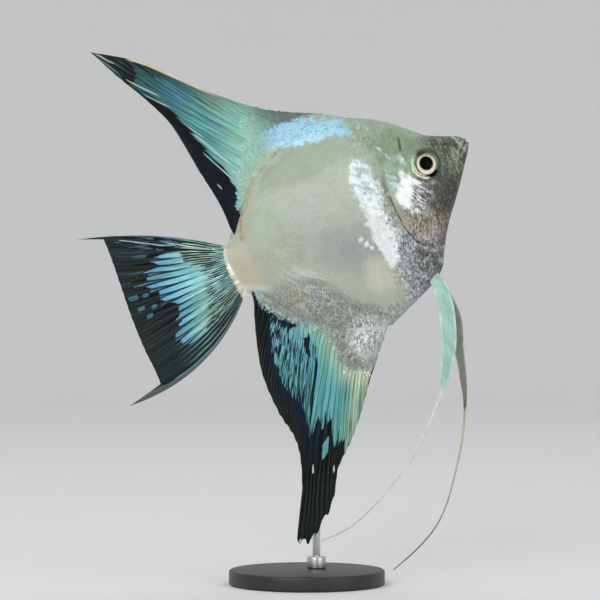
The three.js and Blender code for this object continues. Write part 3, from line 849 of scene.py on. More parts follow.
class Value:
    """One socket of a material, with the arithmetic that adds the nodes for it.

    size is the value without its sign, floor the whole number below it, and high and low the higher and the
    lower of two values.
    """

    def __init__(self, finish: "Recipe", socket: bpy.types.NodeSocket) -> None:
        """Keeps the material and the socket."""
        self.finish = finish
        self.socket = socket

    def math(self, kind: str, *others: "Value | float") -> "Value":
        """A Math node of that kind on this value and others."""
        settings = {"operation": kind, "use_clamp": False}
        return self.finish.add("ShaderNodeMath", settings, dict(enumerate((self, *others))))

    def __rsub__(self, other: float) -> "Value":
        """A number less this value."""
        return self * -1.0 + other

    __add__ = __radd__ = operator("ADD")
    __sub__ = operator("SUBTRACT")
    __mul__ = __rmul__ = operator("MULTIPLY")
    size, floor = operator("ABSOLUTE"), operator("FLOOR")
    high, low = operator("MAXIMUM"), operator("MINIMUM")

    def stray(self) -> "Value":
        """How far the value lies from the nearest whole number."""
        return (self - (self + 0.5).floor()).size()

    def rise(self, low: "float | Value", high: "float | Value") -> "Value":
        """0 below low, 1 above high and a smooth slope between.

        Args:
            low: where the slope starts.
            high: where it ends.

        Returns:
            The slope.
        """
        inputs = {"Value": self, "From Min": low, "From Max": high}
        settings = {"interpolation_type": "SMOOTHSTEP", "clamp": True}
        return self.finish.add("ShaderNodeMapRange", settings, inputs)

    def part(self, name: str) -> "Value":
        """Red, Green or Blue of a colour."""
        return self.finish.add("ShaderNodeSeparateColor", {}, {"Color": self}, name)

    def parts(self) -> list["Value"]:
        """The three parts of a colour."""
        return [self.part(name) for name in ("Red", "Green", "Blue")]


class Recipe:
    """A material that is being put together, with one Principled shader."""

    def __init__(self, name: str) -> None:
        """Starts an empty material.

        Args:
            name: the material's name.
        """
        self.material = bpy.data.materials.new(name)
        self.material.use_nodes = True
        self.tree = self.material.node_tree
        self.tree.nodes.clear()
        self.shader = self.tree.nodes.new("ShaderNodeBsdfPrincipled")
        output = self.tree.nodes.new("ShaderNodeOutputMaterial")
        self.tree.links.new(self.shader.outputs[0], output.inputs[0])

    def add(
        self, kind: str, settings: dict | None = None, inputs: dict | None = None, output: str | int = 0
    ) -> Value:
        """Adds a node.

        Args:
            kind: the node's type.
            settings: its own settings, set before its sockets.
            inputs: a number, colour or Value for each socket, by name or place.
            output: which of its outputs is used.

        Returns:
            The output as a Value.
        """
        node = self.tree.nodes.new(kind)
        for name, value in (settings or {}).items():
            setattr(node, name, value)
        for key, value in (inputs or {}).items():
            if isinstance(value, Value):
                self.tree.links.new(value.socket, node.inputs[key])
            else:
                node.inputs[key].default_value = value
        return Value(self, node.outputs[output])

    def set(self, **sockets: "Value | float | Colour") -> None:
        """Sets the shader's sockets, with _ for a space in each name."""
        for name, value in sockets.items():
            socket = self.shader.inputs[name.replace("_", " ")]
            if isinstance(value, Value):
                self.tree.links.new(value.socket, socket)
            elif isinstance(value, tuple) and len(value) == 3 and socket.type == "RGBA":
                socket.default_value = (*value, 1.0)
            else:
                socket.default_value = value

    def place(self, per_mm: tuple[float, float, float] = (1.0, 1.0, 1.0), lean: float = 0.0) -> Value:
        """The place in the fish's own frame.

        Args:
            per_mm: how far the pattern moves on for each millimetre, along each axis.
            lean: how far the frame is turned down, in degrees.

        Returns:
            The place, as a vector.
        """
        turned = self.add("ShaderNodeMapping", {"vector_type": "TEXTURE"}, {
            "Vector": self.add("ShaderNodeTexCoord", {}, {}, "Object"),
            "Location": (FISH.x * MM, 0.0, FISH.z * MM),
            "Rotation": (0.0, -FISH.pitch - math.radians(lean), 0.0),
            "Scale": (MM, MM, MM),
        })
        return self.add("ShaderNodeVectorMath", {"operation": "MULTIPLY"}, {0: turned, 1: per_mm})

    def attribute(self, name: str, output: str = "Color") -> Value:
        """A painted attribute of the piece."""
        return self.add("ShaderNodeAttribute", {"attribute_name": name}, {}, output)

    def noise(self, at: Value, scale: float, detail: float = 2.0, warp: float = 0.0) -> Value:
        """Smooth noise from 0 to 1."""
        inputs = {"Vector": at, "Scale": scale, "Detail": detail, "Distortion": warp}
        return self.add("ShaderNodeTexNoise", {}, inputs, "Fac")

    def mix(self, base: "Value | Colour", over: "Value | Colour", share: "Value | float") -> Value:
        """base with over laid on it, as thick as share.

        Args:
            base: the colour below.
            over: the colour on top.
            share: from 0 to 1.

        Returns:
            The mixed colour.
        """
        base, over = ((*c, 1.0) if isinstance(c, tuple) else c for c in (base, over))
        settings = {"data_type": "RGBA", "clamp_factor": True}
        return self.add("ShaderNodeMix", settings, {0: share, 6: base, 7: over}, 2)

    def tone(self, colour: Value, level: Value) -> Value:
        """A colour made darker or lighter by a number."""
        return self.add("ShaderNodeVectorMath", {"operation": "SCALE"}, {0: colour, "Scale": level})

    def rays(self) -> tuple[Value, Value]:
        """u and v on a fin."""
        u = self.add("ShaderNodeSeparateXYZ", {}, {0: self.add("ShaderNodeUVMap", {"uv_map": "rays"}, {})})
        return u, Value(self, u.socket.node.outputs[1])

    def relief(self, height: Value, depth: float, below: Value | None = None) -> Value:
        """A bump.

        Args:
            height: its height at each place, from 0 to 1.
            depth: its depth in millimetres.
            below: another bump that this one lies on.

        Returns:
            The direction that the surface faces.
        """
        inputs = {"Height": height, "Strength": 1.0, "Distance": depth * MM}
        if below is not None:
            inputs["Normal"] = below
        return self.add("ShaderNodeBump", {}, inputs, "Normal")


@dataclass(frozen=True)
class SkinFinish:
    """Wet fish skin with its painted pattern. With plates it is the finish of the scales over the skin."""

    name: str = "fish_skin"
    plates: bool = False

    def make(self) -> Material:
        """Builds the material.

        Returns:
            The material.
        """
        r = Recipe(self.name)
        at = r.place()
        tint, traits = r.attribute("tint"), r.attribute("traits")
        mosaic, silver, speck = traits.parts()
        mottle = r.attribute("traits", "Alpha")

        strokes = r.attribute("strokes").part("Red")

        cloud = r.noise(at, 0.16, 3) * 0.16 + r.noise(at, 0.62, 3) * 0.12 + r.noise(at, 2.4, 2) * 0.07
        level = cloud + 0.83
        level = level + mottle * (r.noise(at, 0.42, 3) - 0.5) * 0.7
        freckle = r.noise(at, 1.7, 4, 0.5)
        spots = freckle.rise(0.48, 0.68) * 0.5 - (1 - freckle.rise(0.32, 0.48)) * 0.26
        level = level * (1 - mottle * spots)
        vein = r.noise(at, 1.35, 3, 1.1)
        foil = (vein - 0.5).size().rise(0.0, 0.09)
        level = level * (1 - silver * (1 - foil) * 0.14)
        drag = r.noise(r.place((1.9, 0.7, 0.4), 26.0), 1.0, 3, 0.6)
        level = level * (1 - silver * drag.rise(0.56, 0.7) * 0.14) * (silver * 0.04 + 1)
        hairs = r.noise(r.place((1.5, 0.7, 0.5), -6.0), 1.0, 3, 0.9)
        colour = r.tone(tint, level)
        bristle = r.noise(r.place((3.2, 1.1, 1.2), -10.0), 1.0, 2, 0.6)
        colour = r.mix(colour, paint(186, 202, 180), mottle * (1 - hairs.rise(0.26, 0.46)) * 0.42)
        colour = r.mix(colour, paint(36, 44, 30), mottle * hairs.rise(0.52, 0.7) * 0.6)
        colour = r.tone(colour, 1 - mottle * (bristle - 0.5) * 1.2)
        flecks = r.noise(at, 1.5, 4, 0.6).rise(0.47, 0.62) * r.noise(at, 0.35, 2).rise(0.35, 0.6)
        colour = r.mix(colour, paint(98, 132, 156), speck * flecks * 0.75)

        comb = r.noise(r.place((1.75, 0.8, 0.72), -26.0), 1.0, 3, 1.0).rise(0.32, 0.68)
        if self.plates:
            plate = r.attribute("plate")
            luck, run, side = plate.parts()
            arc = run - side * side * 0.16
            net = arc.rise(0.74, 0.92).high(side.rise(0.66, 0.96)).high(1 - arc.rise(0.34, 0.46))
            clump = r.noise(at, 0.3, 3).rise(0.36, 0.64)
            glint = luck * 0.34 + comb * 0.62 + clump * 0.2 - 0.1
            lit = mosaic * (1 - net * 0.8)
            colour = r.tone(colour, 1 - mosaic * net * 0.42 + mosaic * (glint - 0.46) * 1.8)
            bright = lit * (glint - 0.56).rise(0.0, 0.3)
            colour = r.mix(colour, Pigment.SILVER.value, bright * silver)
            colour = r.tone(colour, (luck - 0.5) * (silver * 0.1 + mottle * 0.1 + 0.03) + 1)
            colour = r.tone(colour, 1 - (arc.rise(0.84, 1.0) * (mottle * 0.08 + 0.03)))
            shine = (bright + silver).low(1.0)
        else:
            colour = r.tone(colour, mosaic * (comb - 0.6) * 1.3 + 1)
            shine = silver
        stripe_at = r.place((1.0 / 0.95, 0.3, 0.22), 26.0)
        stripe = r.add("ShaderNodeSeparateXYZ", {}, {0: stripe_at}) + r.noise(stripe_at, 1.0, 3) * 2.4
        beat = stripe.stray()
        broken = r.noise(r.place((1.6, 0.5, 0.5), 26.0), 1.0, 2).rise(0.36, 0.5)
        stroke = (1 - beat.rise(0.17, 0.32)) * broken
        colour = r.mix(colour, paint(34, 28, 20), strokes * stroke * 0.9)
        grain = r.noise(at, 3.2, 3)
        bumps = r.relief(grain, 0.05)
        bumps = r.relief(vein, 0.1, bumps)
        r.set(
            Base_Color=colour,
            Metallic=shine * 0.16,
            Roughness=0.46 - shine * 0.16 + (grain - 0.5) * 0.12,
            Normal=bumps,
            Coat_Weight=0.25,
            Coat_Roughness=0.2,
            Subsurface_Weight=0.14,
            Subsurface_Scale=0.0012,
            Subsurface_Radius=(1.0, 0.9, 0.75),
        )
        return r.material


@dataclass(frozen=True)
class FinFinish:
    """Smoky fin skin between rays, with bright strips that lie between the rays and break up outwards."""

    name: str
    rays: int
    line: float = 0.75
    fork_from: float = 0.3
    shares: tuple[float, float, float] = (0.42, 0.38, 0.2)
    rib: float = 0.07
    vary: float = 0.0
    wander: float = 0.0
    membrane: Colour = paint(8, 10, 14)
    deep: Colour = paint(12, 30, 50)
    pale_ray: Colour = paint(168, 196, 186)

    def make(self) -> Material:
        """Builds the material.

        Returns:
            The material.
        """
        r = Recipe(self.name)
        at = r.place()
        u, v = r.rays()
        tint, tint_b, traits = r.attribute("tint"), r.attribute("tint_b"), r.attribute("fin_traits")
        cover, brick, lines = traits.parts()
        opacity = r.attribute("fin_traits", "Alpha")
        more = r.attribute("fin_more")
        glow, haze, dashed = more.parts()

        x = u * float(self.rays) + (r.noise(at, 0.12, 2) - 0.5) * self.wander
        off = x.stray()
        fork = v.rise(self.fork_from, self.fork_from + 0.5) * 0.25
        once = (off - fork).size()
        twice = (once - v.rise(0.66, 1.0) * 0.11).size()
        ray = 1 - twice.rise(self.rib * 0.45, self.rib)
        fine = ((x * 2.0) - (x * 2.0 + 0.5).floor()).size()
        within = r.add("ShaderNodeMath", {"operation": "GREATER_THAN"}, {0: fork, 1: off})
        panel = within * ((x + 0.5).floor() * 2.0) + (1 - within) * (x.floor() * 2.0 + 1.0)
        luck = r.add("ShaderNodeTexWhiteNoise", {"noise_dimensions": "1D"}, {"W": panel}, "Value")
        streak_at = r.add("ShaderNodeCombineXYZ", {}, {0: x * 1.7, 1: v * 3.2, 2: 0.0})
        streak = r.noise(streak_at, 1.0, 3)
        hair_at = r.add("ShaderNodeCombineXYZ", {}, {0: x * 6.0, 1: v * 7.0, 2: 3.0})
        hair = r.noise(hair_at, 1.0, 2)
        dash_at = r.add("ShaderNodeCombineXYZ", {}, {0: x * 4.6, 1: v * 7.5, 2: 7.0})
        dash = r.noise(dash_at, 1.0, 2, 0.3).rise(0.26, 0.74)
        row = v * 11.0 + luck * 4.0
        block = r.add("ShaderNodeCombineXYZ", {}, {0: panel, 1: row.floor(), 2: 0.0})
        kept = r.add("ShaderNodeTexWhiteNoise", {"noise_dimensions": "3D"}, {"Vector": block}, "Value")
        gap = row.stray()
        cut = brick.rise(0.1, 0.4) * (1 - gap.rise(0.03, 0.08)) * kept.rise(0.3, 0.5)
        missing = (brick * 0.9 - kept).rise(-0.03, 0.03)

        by_panel, by_streak, by_hair = self.shares
        need = luck * by_panel + streak.rise(0.28, 0.72) * by_streak + hair.rise(0.3, 0.7) * by_hair
        need = need * (1 - dashed) + dash * dashed
        bright = (cover - need).rise(-0.04, 0.06)
        bright = bright * (1 - cut) * (1 - missing) * (1 - lines * ray * self.line)
        thread = glow * (1 - fine.rise(0.1, 0.3)) * hair.rise(0.22, 0.62)
        colour = r.mix(tint, tint_b, (luck * 0.5 + streak * 0.9 - 0.2).rise(0.1, 0.9))
        level = streak.rise(0.3, 0.7) * 0.34 + hair.rise(0.25, 0.75) * 0.42
        level = level * (1 - haze) + haze * 0.4 + 0.54
        colour = r.tone(colour, level * ((luck - 0.6) * self.vary + 1))
        colour = r.mix(colour, self.pale_ray, thread * (1 - bright))
        web = r.mix(self.membrane, self.pale_ray, ray * 0.04)
        web = r.mix(web, self.deep, r.attribute("fin_more", "Alpha"))
        web = r.tone(web, hair * 0.4 + r.noise(at, 0.3, 2) * 0.6 + 0.4)
        bright = bright.high(thread)
        height = ray * 0.5 + hair * 0.6 + bright * 0.3
        r.set(
            Base_Color=r.mix(web, colour, bright),
            Alpha=(opacity + bright * (1 - opacity) + ray * 0.05).low(1.0),
            Metallic=bright * 0.15,
            Roughness=0.46 - bright * 0.06,
            Normal=r.relief(height, 0.1),
            Specular_IOR_Level=0.09,
            Coat_Weight=0.03,
            Coat_Roughness=0.2,
        )
        return r.material


@dataclass(frozen=True)
class BladeFinish:
    """The stiff pale rays of a pelvic fin and its thread."""

    name: str
    body: Colour
    edge: Colour
    end: Colour
    tip: Colour

    def make(self) -> Material:
        """Builds the material.

        Returns:
            The material.
        """
        r = Recipe(self.name)
        at = r.place()
        traits = r.attribute("fin_traits")
        across, along, thread = traits.parts()
        lines = across * 5.0 + r.noise(at, 0.3, 2) * 1.6
        ridge = lines.stray() * 2.0
        grain = r.noise(at, 1.1, 3)
        shade = r.noise(r.place((0.5, 1.0, 0.12)), 1.0, 2).rise(0.35, 0.65)
        colour = r.mix(self.body, self.edge, (across * 2.0 - 1.0).size().rise(0.62, 0.98) * 0.7)
        colour = r.mix(colour, r.mix(self.end, self.tip, along.rise(0.35, 0.95)), thread)
        colour = r.tone(colour, ridge * 0.1 + grain * 0.2 + shade * 0.2 + 0.72 - along * 0.06)
        r.set(
            Base_Color=colour,
            Roughness=0.4,
            Normal=r.relief(ridge, 0.08),
            Coat_Weight=0.25,
            Coat_Roughness=0.2,
            Subsurface_Weight=0.1,
            Subsurface_Scale=0.0006,
        )
        return r.material


@dataclass(frozen=True)
class ClearFinFinish:
    """A pectoral fin: glass-clear skin with faint rays."""

    name: str = "clear_fin"
    rays: int = 12

    def make(self) -> Material:
        """Builds the material.

        Returns:
            The material.
        """
        r = Recipe(self.name)
        u, v = r.rays()
        x = u * float(self.rays)
        off = x.stray()
        once = (off - v.rise(0.25, 0.9) * 0.25).size()
        ray = 1 - once.rise(0.03, 0.1)
        r.set(
            Base_Color=r.mix(paint(196, 204, 198), paint(150, 154, 146), ray),
            Alpha=ray * 0.07 + (1 - v.rise(0.0, 0.25)) * 0.04 + 0.02,
            Roughness=0.3,
            Normal=r.relief(ray, 0.1),
        )
        return r.material


@dataclass(frozen=True)
class EyeFinish:
    """The painted globe: black pupil, bright ring and a dark iris with pale crescents."""

    name: str = "eye_globe"

    def make(self) -> Material:
        """Builds the material.

        Returns:
            The material.
        """
        r = Recipe(self.name)
        fleck = r.noise(r.place(), 2.2, 4, 0.4)
        iris = r.attribute("traits").part("Red")
        fine = r.noise(r.place((2.2, 1.0, 1.4)), 1.6, 3, 0.8)
        colour = r.tone(r.attribute("tint"), 1 + iris * ((fleck - 0.5) * 1.2 + (fine - 0.5) * 1.4))
        r.set(
            Base_Color=colour, Roughness=0.4, Normal=r.relief(fleck * iris, 0.06), Specular_IOR_Level=0.03,
        )
        return r.material


@dataclass(frozen=True)
class CorneaFinish:
    """The clear wet dome over the eye, which shows only its reflections."""

    name: str = "cornea"

    def make(self) -> Material:
        """Builds the material.

        Returns:
            The material.
        """
        r = Recipe(self.name)
        clear = r.add("ShaderNodeBsdfTransparent", {}, {"Color": (1.0, 1.0, 1.0, 1.0)})
        gloss = r.add("ShaderNodeBsdfGlossy", {}, {"Color": (1.0, 1.0, 1.0, 1.0), "Roughness": 0.03})
        angle = r.add("ShaderNodeFresnel", {}, {"IOR": 1.14})
        both = r.add("ShaderNodeMixShader", {}, {0: angle, 1: clear, 2: gloss})
        output = next(n for n in r.tree.nodes if n.type == "OUTPUT_MATERIAL")
        r.tree.links.new(both.socket, output.inputs[0])
        r.tree.nodes.remove(r.shader)
        return r.material


@dataclass(frozen=True)
class PlainFinish:
    """Paint or metal of one colour with a fine grain."""

    name: str
    colour: Colour
    roughness: float
    metallic: float = 0.0
    grain: tuple[float, float, float] = (1.0, 1.0, 1.0)

    def make(self) -> Material:
        """Builds the material.

        Returns:
            The material.
        """
        r = Recipe(self.name)
        grain = r.noise(r.place(self.grain), 2.0, 3)
        r.set(
            Base_Color=self.colour, Metallic=self.metallic, Roughness=self.roughness + (grain - 0.5) * 0.14,
            Normal=r.relief(grain, 0.012),
        )
        return r.material


# ---- mesh making


def deselect() -> None:
    """Nothing is selected after this."""
    for other in bpy.context.selected_objects:
        other.select_set(False)


def only(piece: Object) -> None:
    """Selects a piece alone and makes it the active one.

    Args:
        piece: the piece.
    """
    deselect()
    piece.select_set(True)
    bpy.context.view_layer.objects.active = piece


def vertices_of(piece: Object) -> Array:
    """All the vertices of a piece, one row each.

    Args:
        piece: the piece.

    Returns:
        Their places, in metres.
    """
    rows = np.empty(len(piece.data.vertices) * 3)
    piece.data.vertices.foreach_get("co", rows)
    return rows.reshape(-1, 3)


def set_vertices(piece: Object, rows: Array) -> None:
    """Moves all the vertices of a piece."""
    piece.data.vertices.foreach_set("co", np.ascontiguousarray(rows, float).ravel())
    piece.data.update()


def set_attribute(piece: Object, name: str, rows: Array) -> None:
    """Paints four numbers on each vertex of a piece."""
    layer = piece.data.attributes.new(name, "FLOAT_COLOR", "POINT")
    layer.data.foreach_set("color", np.ascontiguousarray(rows, np.float32).ravel())


def four(first: Numbers, second: Numbers = 0.0, third: Numbers = 0.0, last: Numbers = 1.0) -> Array:
    """Four numbers side by side, as an attribute takes them."""
    return np.stack(np.broadcast_arrays(np.asarray(first, float), second, third, last), axis=-1)


def named(name: str) -> Object:
    """The primitive that was added last, with its mesh, under a new name.

    Args:
        name: the new name.

    Returns:
        The primitive.
    """
    piece = bpy.context.object
    piece.name = piece.data.name = name
    return piece


def ruled_grid(name: str, columns: int, rows: int) -> tuple[Object, Array, Array]:
    """A flat grid that is to become a fin.

    Args:
        name: the piece's name.
        columns: how many faces lie across its rays.
        rows: how many lie from root to margin.

    Returns:
        The piece, and how far across and how far out each of its vertices lies, from 0 to 1.
    """
    bpy.ops.mesh.primitive_grid_add(x_subdivisions=columns, y_subdivisions=rows, size=1, calc_uvs=True)
    piece = named(name)
    piece.data.uv_layers[0].name = "rays"
    flat = vertices_of(piece)
    return piece, flat[:, 0] + 0.5, flat[:, 1] + 0.5


def walled(piece: Object, thickness: float, group: str = "") -> None:
    """Gives a sheet its thickness.

    Args:
        piece: the sheet.
        thickness: its thickness in millimetres.
        group: the vertices' shares of that thickness, where it changes.
    """
    only(piece)
    wall = piece.modifiers.new("wall", "SOLIDIFY")
    wall.thickness = thickness * MM
    wall.offset = 0
    wall.vertex_group = group
    bpy.ops.object.modifier_apply(modifier=wall.name)
    piece.vertex_groups.clear()
    right_way_out(piece)


def right_way_out(piece: Object) -> None:
    """Turns every face of a closed piece outwards and shades it smooth.

    Args:
        piece: the piece.
    """
    only(piece)
    bpy.ops.object.mode_set(mode="EDIT")
    bpy.ops.mesh.select_all(action="SELECT")
    bpy.ops.mesh.normals_make_consistent(inside=False)
    bpy.ops.object.mode_set(mode="OBJECT")
    bpy.ops.object.shade_smooth()


def shaped_ball(
    name: str, segments: int, rings: int, place: Callable[[Array, Array], Array]
) -> tuple[Object, Array, Array]:
    """A sphere that is drawn out into another closed form.

    Args:
        name: the piece's name.
        segments: how many faces go round it.
        rings: how many go from pole to pole.
        place: where a point belongs, from its share of the way from pole to pole and its angle round.

    Returns:
        The piece, and the share and the angle of each of its vertices.
    """
    bpy.ops.mesh.primitive_uv_sphere_add(segments=segments, ring_count=rings, radius=1, calc_uvs=False)
    piece = named(name)
    ball = vertices_of(piece)
    share = np.arccos(np.clip(ball[:, 2], -1, 1)) / math.pi
    angle = np.arctan2(ball[:, 1], ball[:, 0])
    set_vertices(piece, place(share, angle))
    right_way_out(piece)
    return piece, share, angle


def dress(piece: Object, material: Material, slot: str, nodes: Sequence[str] = ()) -> None:
    """Gives a piece its finish, hangs it on the root body and hides the solids that it replaces.

    Args:
        piece: the finished mesh.
        material: its finish.
        slot: not used.
        nodes: the solids that it is shown in place of.
    """
    piece.data.materials.clear()
    piece.data.materials.append(material)
    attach(piece, "root")
    if nodes:
        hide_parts(*nodes)
    LOG.info("%s: %d faces", piece.name, len(piece.data.polygons))


# ---- skin


@dataclass
class Skin:
    """One skin over head, trunk and tail root, without a seam."""

    segments: int = 248
    rings: int = 392
    even_share: float = 0.75
    head_density: float = 2.4
    closing_from: float = -36.4
    replaced: tuple[str, ...] = (
        "head", "upper_jaw", "lower_jaw", "gill_cover_right", "gill_cover_left", "trunk", "caudal_peduncle",
    )

    def stations(self, share: Array) -> Array:
        """Where each ring lies along the fish. They crowd over the head.

        Args:
            share: how far each lies from snout to tail, from 0 to 1.

        Returns:
            Places along the fish.
        """
        a = np.linspace(SNOUT, TAIL, 2000)
        density = 1 + self.head_density * smooth(a, 13, 20)
        density = density + 1.5 * smooth(a, 49, 51.5) + 1.5 * smooth(-a, 35, 37.5)
        passed = np.concatenate([[0], np.cumsum((density[1:] + density[:-1]) / 2)])
        return np.interp(share * passed[-1], passed, a)

    def place(self, share: Array, angle: Array) -> Array:
        """The points of the skin.

        Args:
            share: how far each lies from snout to tail, from 0 to 1.
            angle: its angle round the fish.

        Returns:
            The points of the model, in metres.
        """
        a = self.stations(share)
        side = np.where(np.cos(angle) < 0, -1, 1)
        quarter = np.arcsin(np.clip(np.sin(angle), -1, 1))
        t = self.even_share * quarter / (math.pi / 2) + (1 - self.even_share) * np.sin(quarter)
        past = np.clip(self.closing_from - a, 0, None) / (self.closing_from - TAIL)
        end = np.sqrt(np.clip(1 - past**2, 0, 1))
        b = BODY.middle(a) + BODY.half_height(a) * t * end
        right, left = flank_point(a, b, -1), flank_point(a, b, 1)
        rows = np.where((side < 0)[:, None], right, left)
        rows[:, 1] *= end * (np.abs(t) < 0.9995)
        self.flat = a, b
        return rows

    def build(self) -> Object:
        """Builds and dresses the skin.

        Returns:
            The piece.
        """
        piece, _, _ = shaped_ball("skin", self.segments, self.rings, self.place)
        a, b = self.flat
        set_attribute(piece, "tint", MARKINGS.tint(a, b))
        set_attribute(piece, "traits", MARKINGS.traits(a, b))
        set_attribute(piece, "strokes", four(MARKINGS.ribs(a, b)))
        self.unwrap(piece, a, b)
        dress(piece, SkinFinish().make(), "skin", self.replaced)
        return piece

    def unwrap(self, piece: Object, a: Array, b: Array) -> None:
        """Lays the two flanks out side by side on the piece's own map.

        Args:
            piece: the skin.
            a: its vertices' places along the fish.
            b: their heights.
        """
        mesh = piece.data
        corner = np.empty(len(mesh.loops), int)
        mesh.loops.foreach_get("vertex_index", corner)
        sizes = np.empty(len(mesh.polygons), int)
        mesh.polygons.foreach_get("loop_total", sizes)
        y = vertices_of(piece)[:, 1]
        face = np.repeat(np.arange(len(sizes)), sizes)
        middle = np.bincount(face, y[corner]) / sizes
        side = np.where(middle[face] < 0, -1, 1)
        layer = mesh.uv_layers.new(name="OFBake")
        layer.data.foreach_set("uv", unwrapped(a[corner], b[corner], side).astype(np.float32).ravel())


# ---- fins


@dataclass(frozen=True)
class Sheet:
    """A fin's shape: u runs across its rays and v from its root to its margin."""

    base: Curve
    margin: Curve
    bow: Curve
    wave: float
    rays: int
    flare: float = 0.42
    flare_length: float = 4.5
    edge_half: float = 0.26
    sunk: float = 0.05
    fray: Curve = Curve(((0, 0.004), (1, 0.004)))

    def at(self, u: Array, v: Array) -> tuple[Array, Array, Array]:
        """The middle surface.

        Args:
            u: places across the rays.
            v: how far out they lie.

        Returns:
            The points' places along the fish, to its left and in height.
        """
        v = v * (1 - self.fray.at(u) * (1 - self.ridge(u)) * v**4)
        bx, bz, ex, ez = self.base.at(u, 1), self.base.at(u, 2), self.margin.at(u, 1), self.margin.at(u, 2)
        bow = self.bow.at(u)
        mx, mz = (bx + ex) / 2 - bow * (ez - bz), (bz + ez) / 2 + bow * (ex - bx)
        w = 1 - v
        pleat = 0.1 * smooth(v, 0.2, 0.7) * np.cos(math.pi * u * self.rays)
        y = self.wave * v * v * np.sin(2.2 * math.pi * u + 0.6) + pleat
        return w * w * bx + 2 * v * w * mx + v * v * ex, y, w * w * bz + 2 * v * w * mz + v * v * ez

    def ridge(self, u: Array) -> Array:
        """1 on a ray and 0 halfway between two."""
        off = np.abs(u * self.rays - np.round(u * self.rays)) * 2
        return 1 - smooth(off, 0.1, 0.75)

    def half_thickness(self, u: Array, v: Array) -> Array:
        """Half the thickness, which flares into the body at the root and is greater on the rays.

        Args:
            u: places across the rays.
            v: how far out they lie.

        Returns:
            Millimetres, from the middle surface.
        """
        a, _, b = self.at(u, v)
        depth = BODY.edge_depth(a, b)
        outer = self.flare * np.exp(np.minimum(depth, 0) / self.flare_length)
        full = self.edge_half + outer + np.clip(0.27 * depth, 0, 0.8)
        rim = (self.edge_half + self.flare) * fade(depth, 0.0, 1.1)
        full = np.where(depth > 0, np.minimum(full, np.maximum(rim, 0.75 * BODY.half_thickness(a, b))), full)
        full = full * np.sqrt(np.clip((v + self.sunk) / 0.02, 0.02, 1))
        full = full * (1 - 0.5 * (1 - self.ridge(u)) * smooth(v, 0.05, 0.35))
        return full * (1 - 0.45 * smooth(v, 0.55, 1))


@dataclass
class Fin:
    """A median fin: a sheet with rays, painted and given its thickness."""

    name: str
    sheet: Sheet
    finish: FinFinish
    replaced: tuple[str, ...]
    paint: Callable[[Array, Array, Array, Array], Paints]
    columns: int = 220
    rows: int = 70

    def build(self) -> Object:
        """Builds and dresses the fin.

        Returns:
            The piece.
        """
        piece, u, v = ruled_grid(self.name, self.columns, self.rows)
        v = v * (1 + self.sheet.sunk) - self.sheet.sunk
        a, y, b = self.sheet.at(u, v)
        set_vertices(piece, FISH.place(a, y, b))
        for name, rows in zip(("tint", "tint_b", "fin_traits", "fin_more"), self.paint(u, v, a, b)):
            set_attribute(piece, name, rows)
        half = self.sheet.half_thickness(u, v)
        group = piece.vertex_groups.new(name="thickness")
        for index, share in enumerate(half / half.max()):
            group.add([index], float(share), "REPLACE")
        walled(piece, float(half.max()) * 2, group.name)
        dress(piece, self.finish.make(), "fin", self.replaced)
        return piece


@dataclass(frozen=True)
class Ribbon:
    """A bright strip on a fin's sheet, from one place to another, each as (u, v)."""

    start: Spot
    stop: Spot
    width: float

    def share(self, u: Array, v: Array) -> Array:
        """How thick the strip lies at each place.

        Args:
            u: places across the rays.
            v: how far out they lie.

        Returns:
            The thickness, from 0 to 1.
        """
        t = (v - self.start[1]) / (self.stop[1] - self.start[1])
        centre = self.start[0] + (self.stop[0] - self.start[0]) * t
        return bump(u, centre, self.width) * smooth(t, 0, 0.2) * fade(t, 0.8, 1)


def laid(*rows: tuple[float, float, float, float, float]) -> tuple[Ribbon, ...]:
    """Ribbons, each given by the u and v of its start, those of its end, and its width."""
    return tuple(Ribbon((row[0], row[1]), (row[2], row[3]), row[4]) for row in rows)


def together(strips: Sequence[Ribbon], u: Array, v: Array) -> Array:
    """How thick any of the ribbons lies at each place."""
    return np.maximum.reduce([strip.share(u, v) for strip in strips])


AQUA = paint(100, 164, 168)
TURQUOISE = paint(100, 174, 168)
SKY_BLUE = paint(98, 152, 192)
DEEP_BLUE = paint(66, 112, 168)
CYAN = paint(124, 196, 208)
PALE_MINT = paint(158, 206, 186)
PALE_BLUE = paint(164, 202, 220)
PALE_RAY = paint(196, 214, 204)
FIN_CREAM = paint(218, 212, 180)
LEAF = paint(42, 82, 60)
TEAL = paint(38, 84, 94)
MOSS = paint(140, 158, 132)
SLATE = paint(64, 82, 102)
WEB_EDGE = paint(86, 90, 98)


